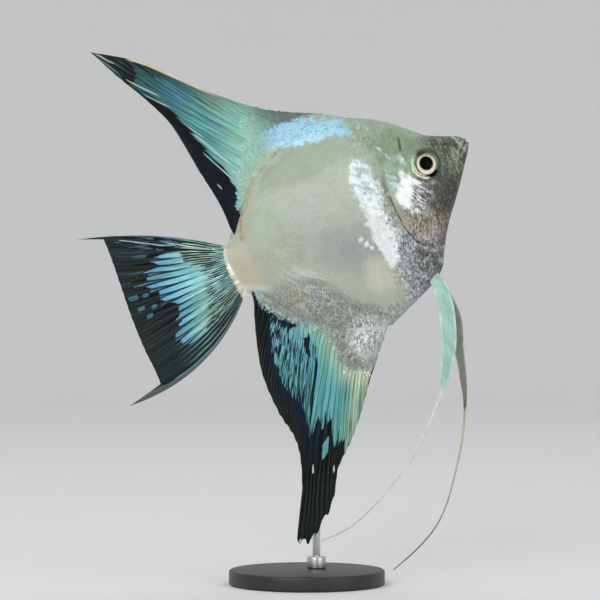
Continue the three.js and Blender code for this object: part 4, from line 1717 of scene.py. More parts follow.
@dataclass(frozen=True)
class DorsalFin:
    """The tall back fin: scaly and mint at its root, aqua with dark slits, and smoky along its rear edge."""

    sheet: Sheet = Sheet(
        base=Curve((
            (0, 20.3, 24.5), (0.1, 14.5, 27), (0.25, 5, 27.4), (0.45, -7.5, 25.2), (0.62, -17.5, 20.7),
            (0.8, -25.5, 14), (0.92, -29.6, 9.4), (1, -31.2, 7.6),
        )),
        margin=Curve((
            (0, 18.5, 27.2), (0.06, 12.5, 31.6), (0.12, 4.5, 36.4), (0.18, -4.3, 42.6), (0.25, -15, 53.6),
            (0.32, -24.5, 65.6), (0.38, -32.5, 75.3), (0.44, -45, 85.3), (0.44, -45, 85.3),
            (0.5, -41.2, 74.6), (0.58, -36.8, 64.5), (0.67, -33, 53), (0.74, -32.1, 44), (0.84, -31.6, 33),
            (0.93, -30.6, 21.5), (1, -31.3, 9.6),
        )),
        bow=Curve(((0, 0.04), (1, 0.04))),
        wave=1.2, rays=38,
        fray=Curve(((0, 0.02), (0.3, 0.002), (0.44, 0.002), (0.5, 0.012), (0.6, 0.006), (1, 0.006))),
    )
    colour_edge: Line = Line((
        (-46, 80), (-40.5, 71.2), (-33.5, 60.6), (-30.2, 54.5), (-28.6, 47), (-26.4, 37.5), (-23.4, 28.5),
        (-23.8, 21.5), (-26.2, 14.5),
    ))
    scales_edge: Line = Line(((-2, 44), (-9.5, 44), (-12.6, 37), (-17.5, 29.6), (-21.4, 24.4), (-26, 15)))
    ribbons: tuple[Ribbon, ...] = laid(
        (0.44, 0.6, 0.478, 0.9, 0.0045), (0.471, 0.58, 0.505, 0.83, 0.004),
        (0.541, 0.43, 0.531, 0.61, 0.006), (0.603, 0.2, 0.562, 0.56, 0.006),
        (0.672, 0.18, 0.657, 0.57, 0.005), (0.773, 0.37, 0.772, 0.47, 0.004), (0.43, 0.9, 0.436, 1.0, 0.003),
        (0.462, 0.88, 0.45, 1.0, 0.003),
    )

    def front_edge(self) -> Line:
        """The front margin, from the spines to the tip."""
        u = np.linspace(0.16, 0.44, 40)
        return Line(tuple(zip(self.sheet.margin.at(u, 1).tolist(), self.sheet.margin.at(u, 2).tolist())))

    def painted(self, u: Array, v: Array, a: Array, b: Array) -> Paints:
        """The two tints and the two sets of traits at each place.

        Args:
            u: places across the rays.
            v: how far out they lie.
            a: places along the fish.
            b: their heights.

        Returns:
            The four tables, one row for each place.
        """
        inside = self.colour_edge.near(a, b)[1] + 1.2 * (WEAVE.at(u * 38, v * 3) - 0.5)
        scaly = self.scales_edge.near(a, b)[1]
        root = 1 - smooth(-scaly, -3.5, 2.5)
        lead_gap = self.front_edge().near(a, b)[0]
        lead = fade(lead_gap, 0.4, 0.95) * smooth(-a, 12, 19) * fade(-a, 33, 38)
        white = together(self.ribbons, u, v)
        tip = smooth(b - 0.25 * a, 68, 90)
        under_lead = fade(lead_gap, 1.0, 4.5) * smooth(-a, 16, 26)
        green = np.clip(tip + 0.7 * under_lead, 0, 1)
        rear_edge = smooth(v, 0.955, 0.985) * smooth(u, 0.6, 0.66)
        own = MARKINGS.tint(a, b)
        tint = layered(spread(AQUA, a), [
            (MOSS, 0.75 * fade(lead_gap, 3, 10) * fade(-a, 16, 26)),
            (PALE_MINT, 0.85 * smooth(b + 0.4 * a, 4, 14) * fade(-scaly, 0, 13) * smooth(-a, 4, 12)),
            (TEAL, 0.7 * smooth(b - 0.5 * a, 55, 84)),
            (LEAF, 0.95 * green),
        ])
        tint = tint * (1 - root[..., None]) + own * root[..., None]
        tint = layered(tint, [(Pigment.CREST.value, 0.75 * fade(lead_gap, 0.5, 5) * smooth(a, -15, 2)),
                              (FIN_CREAM, lead), (WEB_EDGE, rear_edge), (PALE_RAY, white)])
        fixed = np.maximum.reduce([lead, white, rear_edge])
        blue = blob(a, b, (-26, 60.5), (9.5, 6.5), 50)
        plain = (1 - root) * (1 - fixed)
        tint_b = layered(tint, [
            (TURQUOISE, 0.55 * plain * (1 - green)),
            (SKY_BLUE, 0.4 * smooth(-b - 0.9 * a, 0, 10) * plain * (1 - green)),
            (paint(74, 128, 160), 0.9 * blue * plain),
            (DEEP_BLUE, 0.35 * blue * smooth(v, 0.5, 0.7) * plain),
            (TEAL, 0.8 * smooth(b - 0.5 * a, 54, 84) * (1 - blue) * plain),
            (AQUA, 0.3 * green * plain),
        ])
        cover = 1.1 - 0.42 * tip - 0.35 * under_lead * smooth(-a, 26, 34)
        cover = cover - 0.16 * smooth(b - 0.5 * a, 60, 78)
        cover = cover - 0.9 * blob(a, b, (-37.5, 72.5), (4.2, 2.6), 60)
        dashed = 0.85 * smooth(b - 0.5 * a, 62, 84)
        cover = np.minimum(cover, 0.4 + 0.5 * inside)
        cover = np.clip(np.maximum(cover, 1.4 * root * smooth(inside, -1, 1)), -0.1, 1.3)
        cover = np.maximum(cover, 1.4 * fixed)
        lines = np.clip(0.75 * smooth(-scaly, 0, 12) - fixed, 0, 1)
        opacity = 1.0 - 0.04 * smooth(v, 0.9, 1)
        sparks = 0.8 * smooth(WEAVE.at(u * 110, v * 24), 0.7, 0.85) * smooth(v, 0.86, 0.93)
        sparks = sparks * bump(u, 0.47, 0.04)
        return (
            tint, tint_b, four(cover, 0.0, lines, opacity),
            four(sparks, np.clip(root + fixed, 0, 1), dashed * (1 - fixed), 0.35 * smooth(u, 0.6, 0.8)),
        )

    def build(self) -> None:
        """Builds and dresses the fin."""
        finish = FinFinish(
            "dorsal_fin_skin", self.sheet.rays, shares=(0.25, 0.45, 0.3), rib=0.12, vary=0.35, wander=0.4,
        )
        nodes = ("dorsal_fin_spines", "dorsal_fin_long_rays", "dorsal_fin_rear_rays")
        Fin("dorsal_fin", self.sheet, finish, nodes, self.painted, 300, 84).build()


@dataclass(frozen=True)
class TailFin:
    """The fan of the tail: blue panels between dark forked rays, with a streamer at each corner."""

    sheet: Sheet = Sheet(
        base=Curve((
            (0, -34.6, 6.2), (0.25, -36.4, 3.2), (0.5, -37.2, -1.6), (0.75, -37.2, -6.2), (1, -37.2, -10),
        )),
        margin=Curve((
            (0, -78.4, 32.4), (0.035, -70.4, 28.2), (0.035, -70.4, 28.2), (0.15, -71.2, 21),
            (0.3, -72.6, 12.5), (0.5, -74.6, 0.5), (0.7, -75.7, -10.5), (0.85, -75.8, -18),
            (0.955, -76.2, -23.3), (0.955, -76.2, -23.3), (1, -88.6, -24.9),
        )),
        bow=Curve(((0, -0.1), (0.12, 0), (0.7, 0.02), (0.9, 0.13), (1, 0.24))),
        wave=-1.6, rays=18,
        fray=Curve(((0, 0.0), (0.1, 0.002), (1, 0.002))),
    )
    far_end: Curve = Curve((
        (0, 0.9), (0.05, 0.8), (0.09, 0.52), (0.113, 0.58), (0.15, 0.7), (0.177, 0.76), (0.22, 0.64),
        (0.28, 0.88), (0.307, 0.91), (0.343, 0.85), (0.372, 0.76), (0.458, 0.76), (0.5, 0.68), (0.543, 0.62),
        (0.6, 0.57), (0.65, 0.63), (0.739, 0.69), (0.84, 0.69), (0.86, 0.62), (0.9, 0.3), (1, 0.2),
    ))
    near_end: Curve = Curve((
        (0, 0.25), (0.1, 0.32), (0.128, 0.35), (0.231, 0.29), (0.39, 0.255), (0.558, 0.31), (0.683, 0.34),
        (0.792, 0.4), (0.86, 0.46), (1, 0.5),
    ))
    ribbons: tuple[Ribbon, ...] = laid(
        (0.09, 0.04, 0.046, 0.6, 0.005), (0.075, 0.48, 0.04, 0.95, 0.004),
    )
    cells: tuple[Ribbon, ...] = laid(
        (0.402, 0.87, 0.396, 0.985, 0.02), (0.404, 0.78, 0.406, 0.85, 0.014),
        (0.47, 0.84, 0.472, 0.94, 0.018), (0.482, 0.74, 0.482, 0.81, 0.013), (0.53, 0.8, 0.532, 0.88, 0.014),
    )

    def painted(self, u: Array, v: Array, a: Array, b: Array) -> Paints:
        """The two tints and the two sets of traits at each place.

        Args:
            u: places across the rays.
            v: how far out they lie.
            a: places along the fish.
            b: their heights.

        Returns:
            The four tables, one row for each place.
        """
        root = 1 - smooth(v + 0.014 * WEAVE.at(u * 40, v * 3), 0.03, 0.075)
        white = together(self.ribbons, u, v)
        rim = smooth(u, 0.962, 0.985) * smooth(v, 0.0, 0.1)
        cells = together(self.cells, u, v)
        edges = np.maximum(bump(u, 0.003, 0.006), 0.9 * white)
        lower = smooth(u, 0.66, 0.84)
        near, far = self.near_end.at(u), self.far_end.at(u)
        out = smooth(v, near + 0.1, far)
        comb = 1 - smooth(v, near - 0.06, near + 0.1)
        top = 1 - smooth(u, 0.08, 0.12)
        beyond = smooth(v, far - 0.06, far + 0.06) * fade(u, 0.24, 0.4) * smooth(u, 0.04, 0.07)
        tint = layered(spread(CYAN, a), [
            (PALE_MINT, 0.8 * fade(v, near - 0.02, near + 0.16)),
            (TURQUOISE, 0.5 * smooth(u, 0.2, 0.4) * (1 - out)),
            (SKY_BLUE, 0.45 * out),
            (DEEP_BLUE, 0.3 * out * smooth(WEAVE.at(u * 20, v * 4), 0.5, 0.7)),
            (paint(46, 96, 104), 0.95 * cells),
            (TEAL, 0.7 * top * smooth(v, 0.2, 0.4)),
            (MOSS, 0.8 * lower * fade(v, 0.3, 0.55)),
            (SLATE, 0.95 * beyond),
            (paint(232, 226, 206), 0.95 * root),
            (PALE_RAY, edges),
            (paint(88, 86, 82), 0.95 * rim),
        ])
        fixed = np.maximum.reduce([root, edges, rim])
        tint_b = layered(tint, [
            (PALE_BLUE, 0.3 * (1 - out) * (1 - fixed)),
            (SKY_BLUE, 0.9 * out * (1 - fixed) * (1 - beyond) * (1 - cells)),
            (DEEP_BLUE, 0.45 * smooth(v, 0.5, 0.8) * (1 - fixed) * (1 - beyond) * (1 - cells)),
        ])
        shady = bump(u, 0.19, 0.12) * smooth(v, 0.14, 0.2) * fade(v, 0.36, 0.46)
        cover = 0.44 + 0.66 * smooth(v, near - 0.1, near + 0.1) - 1.25 * smooth(v, far - 0.16, far + 0.14)
        cover = cover - 0.3 * fade(u, 0.12, 0.25) * smooth(v, 0.2, 0.4) - 0.3 * top * smooth(v, 0.15, 0.3)
        cover = cover - 0.55 * shady
        cover = np.maximum(cover, np.maximum(0.5 * beyond, cells))
        cover = cover * (1 - smooth(u, 0.85, 0.89) * smooth(v, 0.25, 0.4)) - 0.2 * smooth(u, 0.85, 0.89)
        cover = np.maximum(cover, 1.3 * fixed)
        lines = 1.0 - np.maximum(fixed, cells)
        opacity = 1.0 - 0.05 * smooth(v, 0.9, 1)
        glow = fade(v, near + 0.02, near + 0.2) * (1 - 0.5 * lower) * (1 - fixed)
        glow = np.maximum(glow, 0.5 * lower * fade(v, 0.5, 0.85) * (1 - fixed))
        dashed = 0.85 * np.maximum.reduce([comb, top, 0.8 * shady]) * (1 - fixed)
        brick = 0.3 * smooth(v, 0.62, 0.75) * (1 - fixed) * (1 - beyond) * (1 - cells)
        return (
            tint, tint_b, four(np.clip(cover, -0.1, 1.3), brick, lines, opacity),
            four(glow, 0.75 * np.maximum(fixed, 0.6 * out), dashed, np.maximum(0.6 * lower, comb)),
        )

    def build(self) -> None:
        """Builds and dresses the fin."""
        finish = FinFinish(
            "caudal_fin_skin", self.sheet.rays, line=0.99, fork_from=0.42, shares=(0.62, 0.28, 0.1),
            membrane=paint(10, 15, 19), deep=paint(18, 34, 36), rib=0.15, vary=0.7, wander=0.35,
        )
        nodes = ("caudal_fin_upper_ray", "caudal_fin_web", "caudal_fin_lower_ray")
        Fin("caudal_fin", self.sheet, finish, nodes, self.painted, 300, 72).build()


@dataclass(frozen=True)
class AnalFin:
    """The long lower fin: silver scales in front, feathery turquoise strips, and a smoky rear and tip."""

    sheet: Sheet = Sheet(
        base=Curve((
            (0, 1.5, -40.5), (0.2, -6, -39), (0.46, -15.5, -34), (0.68, -23.5, -26.5), (0.86, -29.5, -17.5),
            (1, -34.2, -9.6),
        )),
        margin=Curve((
            (0, -3.2, -43.4), (0.06, -9, -50), (0.12, -15, -55.8), (0.19, -22.2, -63.6),
            (0.26, -29.5, -70.2), (0.34, -37.6, -76.4), (0.4, -45, -86), (0.46, -57.2, -94),
            (0.46, -57.2, -94), (0.51, -61.2, -91.5), (0.51, -61.2, -91.5), (0.56, -54, -81.5),
            (0.61, -47.8, -69.5), (0.68, -45.4, -60.5), (0.77, -46.1, -50), (0.86, -44.8, -36),
            (0.94, -40.2, -22.8), (1, -35.4, -12.6),
        )),
        bow=Curve(((0, -0.03), (1, -0.03))),
        wave=1.0, rays=34,
        fray=Curve(((0, 0.02), (0.3, 0.01), (0.44, 0.03), (0.51, 0.02), (1, 0.006))),
    )
    scales_edge: Line = Line((
        (-34, -12), (-32.4, -18.6), (-29.5, -22.4), (-26, -26.2), (-21, -31.1), (-18.4, -37.1),
        (-19.2, -47.5), (-16, -50.5), (-12.4, -51.5), (-6, -50),
    ))
    strip_end: Curve = Curve((
        (0, 0.8), (0.1, 0.95), (0.2, 1.1), (0.27, 1.05), (0.3, 0.92), (0.35, 0.82), (0.4, 0.7), (0.42, 0.56),
        (0.45, 0.52), (0.47, 0.54), (0.497, 0.53), (0.52, 0.6), (0.56, 0.62), (0.6, 0.7), (0.66, 0.72),
        (0.75, 0.76), (0.84, 0.62), (0.87, 0.4), (0.9, 0.12), (1, 0.0),
    ))
    navy: tuple[Ribbon, ...] = laid(
        (0.562, 0.17, 0.545, 0.52, 0.01), (0.66, 0.14, 0.63, 0.26, 0.014), (0.475, 0.4, 0.49, 0.75, 0.007),
        (0.36, 0.64, 0.4, 0.95, 0.012),
    )
    drops: tuple[Ribbon, ...] = laid(
        (0.437, 0.55, 0.434, 0.66, 0.011), (0.292, 0.9, 0.285, 1.02, 0.01),
    )
    white: tuple[Ribbon, ...] = laid(
        (0.479, 0.635, 0.475, 0.68, 0.0035), (0.395, 0.795, 0.39, 0.85, 0.004),
        (0.5, 0.975, 0.497, 1.02, 0.004),
    )

    def painted(self, u: Array, v: Array, a: Array, b: Array) -> Paints:
        """The two tints and the two sets of traits at each place.

        Args:
            u: places across the rays.
            v: how far out they lie.
            a: places along the fish.
            b: their heights.

        Returns:
            The four tables, one row for each place.
        """
        scaly = self.scales_edge.near(a, b)[1] + 2.4 * (WEAVE.at(u * 60, v * 5 + 3) - 0.5)
        root = smooth(scaly, -2.6, 1.6)
        own = MARKINGS.tint(a, b)
        white, navy = together(self.white, u, v), together(self.navy, u, v)
        drops = together(self.drops, u, v) * (1 - white)
        spines = fade(u, 0.2, 0.33) * fade(scaly, -1, 1)
        spines = spines * smooth(WEAVE.at(u * 34, v * 1.5), 0.2, 0.6)
        dashes = smooth(u, 0.48, 0.61)
        night = bump(scaly, -1.2, 1.6) * smooth(u, 0.68, 0.75)
        verge = bump(scaly, -2.6, 2.6) * smooth(u, 0.3, 0.42) * fade(u, 0.72, 0.78)
        tint = layered(spread(TURQUOISE, a), [
            (PALE_MINT, 0.75 * bump(scaly, -2.5, 3.5) * smooth(a, -30, -24)),
            (paint(178, 192, 148), 0.65 * bump(scaly, -2.0, 3.2) * smooth(a, -27, -20)),
            (PALE_MINT, 0.5 * bump(u, 0.3, 0.07) * smooth(v, 0.5, 0.8)),
            (paint(134, 196, 206), 0.85 * dashes * fade(-b, 28, 40) * (1 - 0.7 * verge)),
            (paint(92, 172, 160), 0.8 * dashes * smooth(-b, 30, 44)),
            (paint(196, 204, 160), 0.9 * spines),
            (paint(222, 226, 208), 0.85 * bump(scaly, -1.5, 3.0) * fade(u, 0.3, 0.42)
             * smooth(WEAVE.at(u * 80, v * 2), 0.3, 0.6)),
            (paint(58, 70, 80), smooth(-scaly, -0.6, 0.6) * fade(-scaly, 1.2, 2.4) * smooth(u, 0.7, 0.76)),
        ])
        tint = tint * (1 - root[..., None]) + own * root[..., None]
        tint = layered(tint, [(Pigment.SILVER.value, white)])
        tint_b = layered(tint, [
            (paint(84, 140, 196), 0.8 * (1 - root) * bump(u, 0.5, 0.09) * smooth(v, 0.15, 0.35)
             * (1 - white)),
            (paint(100, 150, 200), 0.9 * (1 - root) * dashes * (1 - white) * (1 - verge)),
            (AQUA, 0.5 * (1 - root) * (1 - spines) * (1 - white)),
        ])
        end = self.strip_end.at(u)
        seam = bump(u, 0.47, 0.08)
        cover = 1.04 - 1.25 * smooth(v, end - 0.14, end + 0.08) - 0.46 * dashes
        cover = cover - 0.26 * seam * smooth(v, 0.22, 0.4)
        cover = cover - 0.1 * smooth(u, 0.74, 0.84) - 0.7 * night + 0.3 * verge
        cover = cover - 0.16 * smooth(v, 0.25, 0.6) * fade(u, 0.2, 0.3) - 1.3 * navy
        cover = np.maximum(np.clip(cover, -0.1, 1.04), 1.3 * np.maximum(root, np.maximum(white, drops)))
        lines = np.clip(0.85 - root - 0.3 * spines - white - drops, 0, 1)
        opacity = 1.0 - 0.04 * smooth(v, 0.9, 1)
        return (
            tint, tint_b, four(cover, 0.0, lines, opacity),
            four(0.0, np.maximum(root, white), 0.9 * np.maximum(dashes, 0.7 * seam) * (1 - 0.6 * verge),
                 np.maximum(navy, 0.8 * dashes) * fade(v, end, end + 0.15)),
        )

    def build(self) -> None:
        """Builds and dresses the fin."""
        finish = FinFinish(
            "anal_fin_skin", self.sheet.rays, shares=(0.5, 0.3, 0.2), rib=0.1, vary=0.35, wander=0.5,
            membrane=paint(6, 7, 9),
        )
        nodes = ("anal_fin_spines", "anal_fin_front_rays", "anal_fin_long_rays", "anal_fin_rear_rays")
        Fin("anal_fin", self.sheet, finish, nodes, self.painted, 300, 96).build()


@dataclass(frozen=True)
class Strand:
    """A narrow fin or thread with an oval section along a bent line."""

    name: str
    knots: Curve

    def middle(self, v: Array) -> Array:
        """The points of its bent line, each along the fish, to its left and in height."""
        return np.stack([self.knots.at(v, column) for column in (1, 2, 3)], axis=-1)

    def place(self, share: Array, angle: Array) -> Array:
        """The points of its surface.

        Args:
            share: how far along each lies, from 0 to 1.
            angle: its angle round the strand.

        Returns:
            The points of the model, in metres.
        """
        v = np.clip((share - 0.02) / 0.96, 0, 1)
        end = np.sqrt(np.clip(1 - ((0.02 - share).clip(0) / 0.02) ** 2, 0, 1))
        end = np.minimum(end, np.sqrt(np.clip(1 - ((share - 0.98).clip(0) / 0.02) ** 2, 0, 1)))
        tangent = self.middle(v + 0.01) - self.middle(v - 0.01)
        tangent /= np.linalg.norm(tangent, axis=1, keepdims=True)
        across = np.cross((0.0, 1.0, 0.0), tangent)
        across /= np.linalg.norm(across, axis=1, keepdims=True)
        through = np.cross(tangent, across)
        wide, deep = self.knots.at(v, 4) * end, self.knots.at(v, 5) * end
        ridges = 1 + 0.12 * np.cos(np.cos(angle) * 14) * smooth(self.knots.at(v, 4), 0.8, 1.6)
        rows = self.middle(v) + across * (np.cos(angle) * wide)[:, None]
        rows = rows + through * (np.sin(angle) * deep * ridges)[:, None]
        return FISH.place(rows[:, 0], rows[:, 1], rows[:, 2])

    def build(self, material: Material, slot: str, nodes: Sequence[str], thread: float = 0.0) -> None:
        """Builds and dresses the strand.

        Args:
            material: its finish.
            slot: a name for that finish, which is handed on to dress.
            nodes: the solids that it is shown in place of.
            thread: 0 for a blade and 1 for a thread.
        """
        piece, share, angle = shaped_ball(self.name, 32, 160, self.place)
        fade = np.clip(thread + (1 - thread) * smooth(share, 0.86, 1.0), 0, 1)
        set_attribute(piece, "fin_traits", four((np.cos(angle) + 1) / 2, share, fade))
        dress(piece, material, slot, nodes)


@dataclass(frozen=True)
class PelvicFins:
    """The two narrow blades under the breast, each drawn out into a long thread."""

    blade_right: Curve = Curve((
        (0, 20.2, -0.9, -32.2, 1.4, 0.5), (0.05, 20.9, -0.9, -35.2, 2.0, 0.5),
        (0.11, 20.9, -2.1, -38.6, 2.5, 0.45), (0.25, 19.4, -3.6, -45.4, 2.7, 0.4),
        (0.45, 16.3, -4.8, -52.8, 2.7, 0.35), (0.6, 13.7, -5.6, -57.6, 2.5, 0.35),
        (0.75, 10.6, -6.2, -62, 1.9, 0.33), (0.88, 7.3, -6.6, -66.2, 1.5, 0.33),
        (0.96, 4.9, -6.8, -69.1, 0.8, 0.33), (1, 3.2, -6.9, -70.9, 0.4, 0.33),
    ))
    thread_right: Curve = Curve((
        (0, 4.6, -6.85, -69.6, 0.42, 0.36), (0.16, -3.4, -7.1, -76.3, 0.42, 0.36),
        (0.34, -13.4, -7.2, -83.5, 0.4, 0.34), (0.5, -23.3, -7, -88.4, 0.37, 0.32),
        (0.68, -33, -6.6, -92.2, 0.34, 0.3), (0.84, -43.5, -6, -94.6, 0.28, 0.26),
        (1, -53.3, -5.4, -94.2, 0.18, 0.18),
    ))
    blade_left: Curve = Curve((
        (0, 20.2, 0.9, -32.2, 1.3, 0.5), (0.05, 20.9, 0.9, -35.6, 1.8, 0.5),
        (0.13, 21.2, 2.6, -40.9, 2.2, 0.45), (0.3, 20.7, 4.6, -48.9, 2.5, 0.4),
        (0.45, 19.2, 5.9, -54.4, 2.3, 0.35), (0.6, 17.4, 7.1, -59.5, 1.7, 0.35),
        (0.72, 15.5, 8, -65.3, 1.3, 0.33), (0.85, 13.4, 8.9, -70.9, 1.1, 0.33),
        (0.93, 11.6, 9.4, -75.2, 0.7, 0.33), (1, 9.2, 9.8, -79.8, 0.4, 0.33),
    ))
    thread_left: Curve = Curve((
        (0, 10.1, 9.7, -78.4, 0.42, 0.36), (0.14, 4.1, 10.2, -87.5, 0.38, 0.34),
        (0.3, -2, 10.6, -95, 0.34, 0.32), (0.5, -11, 11, -104.6, 0.3, 0.28),
        (0.66, -18.5, 11.2, -109.9, 0.26, 0.25), (0.83, -27, 11.3, -113.2, 0.22, 0.22),
        (1, -37, 11.2, -115.6, 0.15, 0.15),
    ))

    def build(self) -> None:
        """Builds and dresses both fins."""
        pale, dull, dark = paint(228, 228, 218), paint(200, 194, 172), paint(74, 66, 60)
        minty = (paint(150, 190, 180), paint(196, 222, 210))
        mossy = (paint(120, 130, 114), paint(172, 178, 158))
        right = BladeFinish("pelvic_skin_right", *minty, pale, pale).make()
        left = BladeFinish("pelvic_skin_left", *mossy, dull, dark).make()
        for side, blade, thread, skin in (
            ("right", self.blade_right, self.thread_right, right),
            ("left", self.blade_left, self.thread_left, left),
        ):
            Strand(f"pelvic_blade_{side}", blade).build(skin, "pelvic_fin", [f"pelvic_fin_{side}"])
            halves = [f"pelvic_filament_{side}_upper", f"pelvic_filament_{side}_lower"]
            Strand(f"pelvic_thread_{side}", thread).build(skin, "pelvic_fin", halves, thread=1.0)


@dataclass(frozen=True)
class PectoralFins:
    """The pair of clear fans on the shoulders, folded back along the flanks."""

    knots: Curve = Curve((
        (0, 17.6, 9.0, -10.6, 1.5, 0.7), (0.2, 13.4, 10.6, -10.9, 2.9, 0.45),
        (0.45, 8.2, 12.4, -11.6, 4.4, 0.35), (0.7, 2.8, 14.2, -12.4, 4.4, 0.3),
        (0.9, -1.6, 15.6, -13.2, 2.6, 0.27), (1, -3.9, 16.3, -13.7, 0.6, 0.25),
    ))
    columns: int = 72
    rows: int = 36
    thickness: float = 0.2

    def build(self) -> None:
        """Builds and dresses both fins."""
        finish = ClearFinFinish().make()
        for name, side in (("right", -1), ("left", 1)):
            piece, u, v = ruled_grid(f"pectoral_fan_{name}", self.columns, self.rows)
            a, y, b = (self.knots.at(v, column) for column in (1, 2, 3))
            fan = (u - 0.5) * 2 * self.knots.at(v, 4)
            curl = 0.5 * (u - 0.5) ** 2 * self.knots.at(v, 4)
            set_vertices(piece, FISH.place(a + 0.1 * fan, side * (y + curl), b + fan))
            walled(piece, self.thickness)
            dress(piece, finish, "clear_fin", [f"pectoral_fin_{name}"])


# ---- eyes


@dataclass
class Eye:
    """One eye: an opaque painted globe under a clear dome."""

    side: int
    tilt: float = math.radians(14)
    lean: float = math.radians(5)
    sunk: float = 0.24
    profile: Curve = Curve((
        (0.0, 0.0, 0.8), (0.12, 1.1, 0.76), (0.22, 2.15, 0.54), (0.25, 2.34, 0.48), (0.27, 2.5, 0.56),
        (0.35, 3.3, 0.54), (0.38, 3.5, 0.46), (0.46, 4.2, 0.32), (0.55, 4.95, 0.18), (0.6, 5.3, 0.0),
        (0.7, 5.4, -1.3), (0.85, 4.2, -2.9), (1.0, 0.0, -3.9),
    ))
    dome: Curve = Curve((
        (0.0, 0.0, 1.2), (0.3, 1.9, 1.06), (0.5, 3.1, 0.76), (0.62, 3.8, 0.5), (0.7, 4.2, 0.26),
        (0.78, 4.2, 0.0), (1.0, 0.0, -0.9),
    ))

    def surface(self, curve: Curve, share: Array, angle: Array) -> Array:
        """The points of a turned form on the eye's axis.

        Args:
            curve: its radius and height, from its front pole to the rear one.
            share: how far each point lies between the poles, from 0 to 1.
            angle: its angle round the axis.

        Returns:
            The points of the model, in metres.
        """
        radius, height = curve.at(share, 1), curve.at(share, 2)
        along, up = radius * np.cos(angle), radius * np.sin(angle)
        c, s = math.cos(self.tilt), math.sin(self.tilt)
        y0 = float(BODY.half_thickness(np.array(ORBIT.a), np.array(ORBIT.b))) - self.sunk
        a, y = along * c + height * s, y0 + height * c - along * s - up * math.sin(self.lean)
        b = ORBIT.b + up * math.cos(self.lean) + height * math.sin(self.lean)
        return FISH.place(ORBIT.a + a, self.side * y, b)

    def painted(self, share: Array, angle: Array) -> tuple[Array, Array]:
        """The colours of the globe.

        Args:
            share: how far each place lies between the poles, from 0 to 1.
            angle: its angle round the axis.

        Returns:
            The colour and how much of the iris each place has.
        """
        r = self.profile.at(share, 1)
        front = share < 0.66
        x, z = r * np.cos(angle), r * np.sin(angle)
        q = r + 0.4 * (WEAVE.at(x * 1.3 + 9, z * 1.3 + 5) - 0.5)
        ring_out = 3.16 + 0.55 * facing(angle, 248, 52) - 0.36 * facing(angle, 64, 48)
        ring_out = ring_out + 0.1 * facing(angle, 330, 30)
        colour = MARKINGS.tint(ORBIT.a + 1.1 * x, ORBIT.b + 1.1 * z)
        colour = layered(colour, [
            (paint(104, 122, 92), 0.75 * fade(q, 3.9, 4.7)),
            (paint(186, 208, 190), 0.85 * facing(angle, 146, 26) * smooth(q, 3.9, 4.4)),
            (paint(120, 134, 112), 0.8 * facing(angle, 150, 40) * bump(q, 3.7, 0.3)),
            (paint(40, 46, 32), 0.4 * facing(angle, 60, 50) * bump(q, 5.0, 0.26)),
            (paint(70, 52, 42), np.clip(1.5 * facing(angle, 88, 28) * bump(q, 3.9, 0.9), 0, 1)),
            (paint(62, 70, 54), 0.75 * facing(angle, 44, 34) * bump(q, 4.2, 0.8)),
            (paint(148, 160, 134), 0.7 * facing(angle, 2, 34) * bump(q, 3.65, 0.26)),
            (paint(84, 96, 72), 0.8 * facing(angle, -20, 50) * smooth(q, 4.6, 4.9)),
            (paint(36, 42, 28), 0.6 * facing(angle, -14, 46) * bump(q, 4.6, 0.4)),
            (paint(64, 58, 44), 0.85 * facing(angle, 190, 46) * bump(q, 3.75, 0.16)),
            (paint(234, 226, 204), np.clip(1.3 * facing(angle, 196, 46) * bump(q, 4.2, 0.34) - 0.2, 0, 1)),
            (paint(234, 226, 204), np.clip(1.3 * facing(angle, 198, 46) * bump(q, 4.9, 0.42) - 0.2, 0, 1)),
            (paint(50, 44, 30), 0.9 * facing(angle, 206, 42) * bump(q, 4.5, 0.13)),
            (paint(2, 2, 2), np.clip(3.4 * facing(angle, -88, 30) * bump(q, 4.35, 0.58) - 0.5, 0, 1)),
            (paint(228, 218, 192), np.clip(1.5 * facing(angle, 240, 15) * bump(q, 4.9, 0.5) - 0.2, 0, 1)),
            # Painted shade: a thin dark arc on the globe's lower rim, where it sinks into the socket.
            (paint(28, 28, 18), 0.85 * facing(angle, 226, 24) * bump(q, 5.26, 0.16)),
            (paint(232, 220, 204), 1 - smooth(r - ring_out, -0.1, 0.1)),
            (paint(168, 160, 150), 0.7 * facing(angle, 64, 50) * fade(r, 3.2, 3.4)),
            (paint(150, 140, 108), 0.6 * fade(r, 2.42, 2.58)),
            (paint(1, 1, 2), 1 - smooth(r, 2.26, 2.36)),
        ])
        colour[~front] = (*paint(40, 44, 34), 1.0)
        return colour, smooth(r - ring_out, 0, 0.2) * front

    def build(self, globe_skin: Material, dome_skin: Material) -> None:
        """Builds and dresses the eye.

        Args:
            globe_skin: the material of the globe.
            dome_skin: the material of the cornea.
        """
        name = "right" if self.side < 0 else "left"
        globe, share, angle = shaped_ball(f"eye_globe_{name}", 128, 150, partial(self.surface, self.profile))
        colour, iris = self.painted(share, angle)
        set_attribute(globe, "tint", colour)
        set_attribute(globe, "traits", four(iris))
        dress(globe, globe_skin, "eye", [f"eye_{name}"])
        dome, _, _ = shaped_ball(f"cornea_{name}", 64, 48, partial(self.surface, self.dome))
        dress(dome, dome_skin, "eye")


# ---- scales


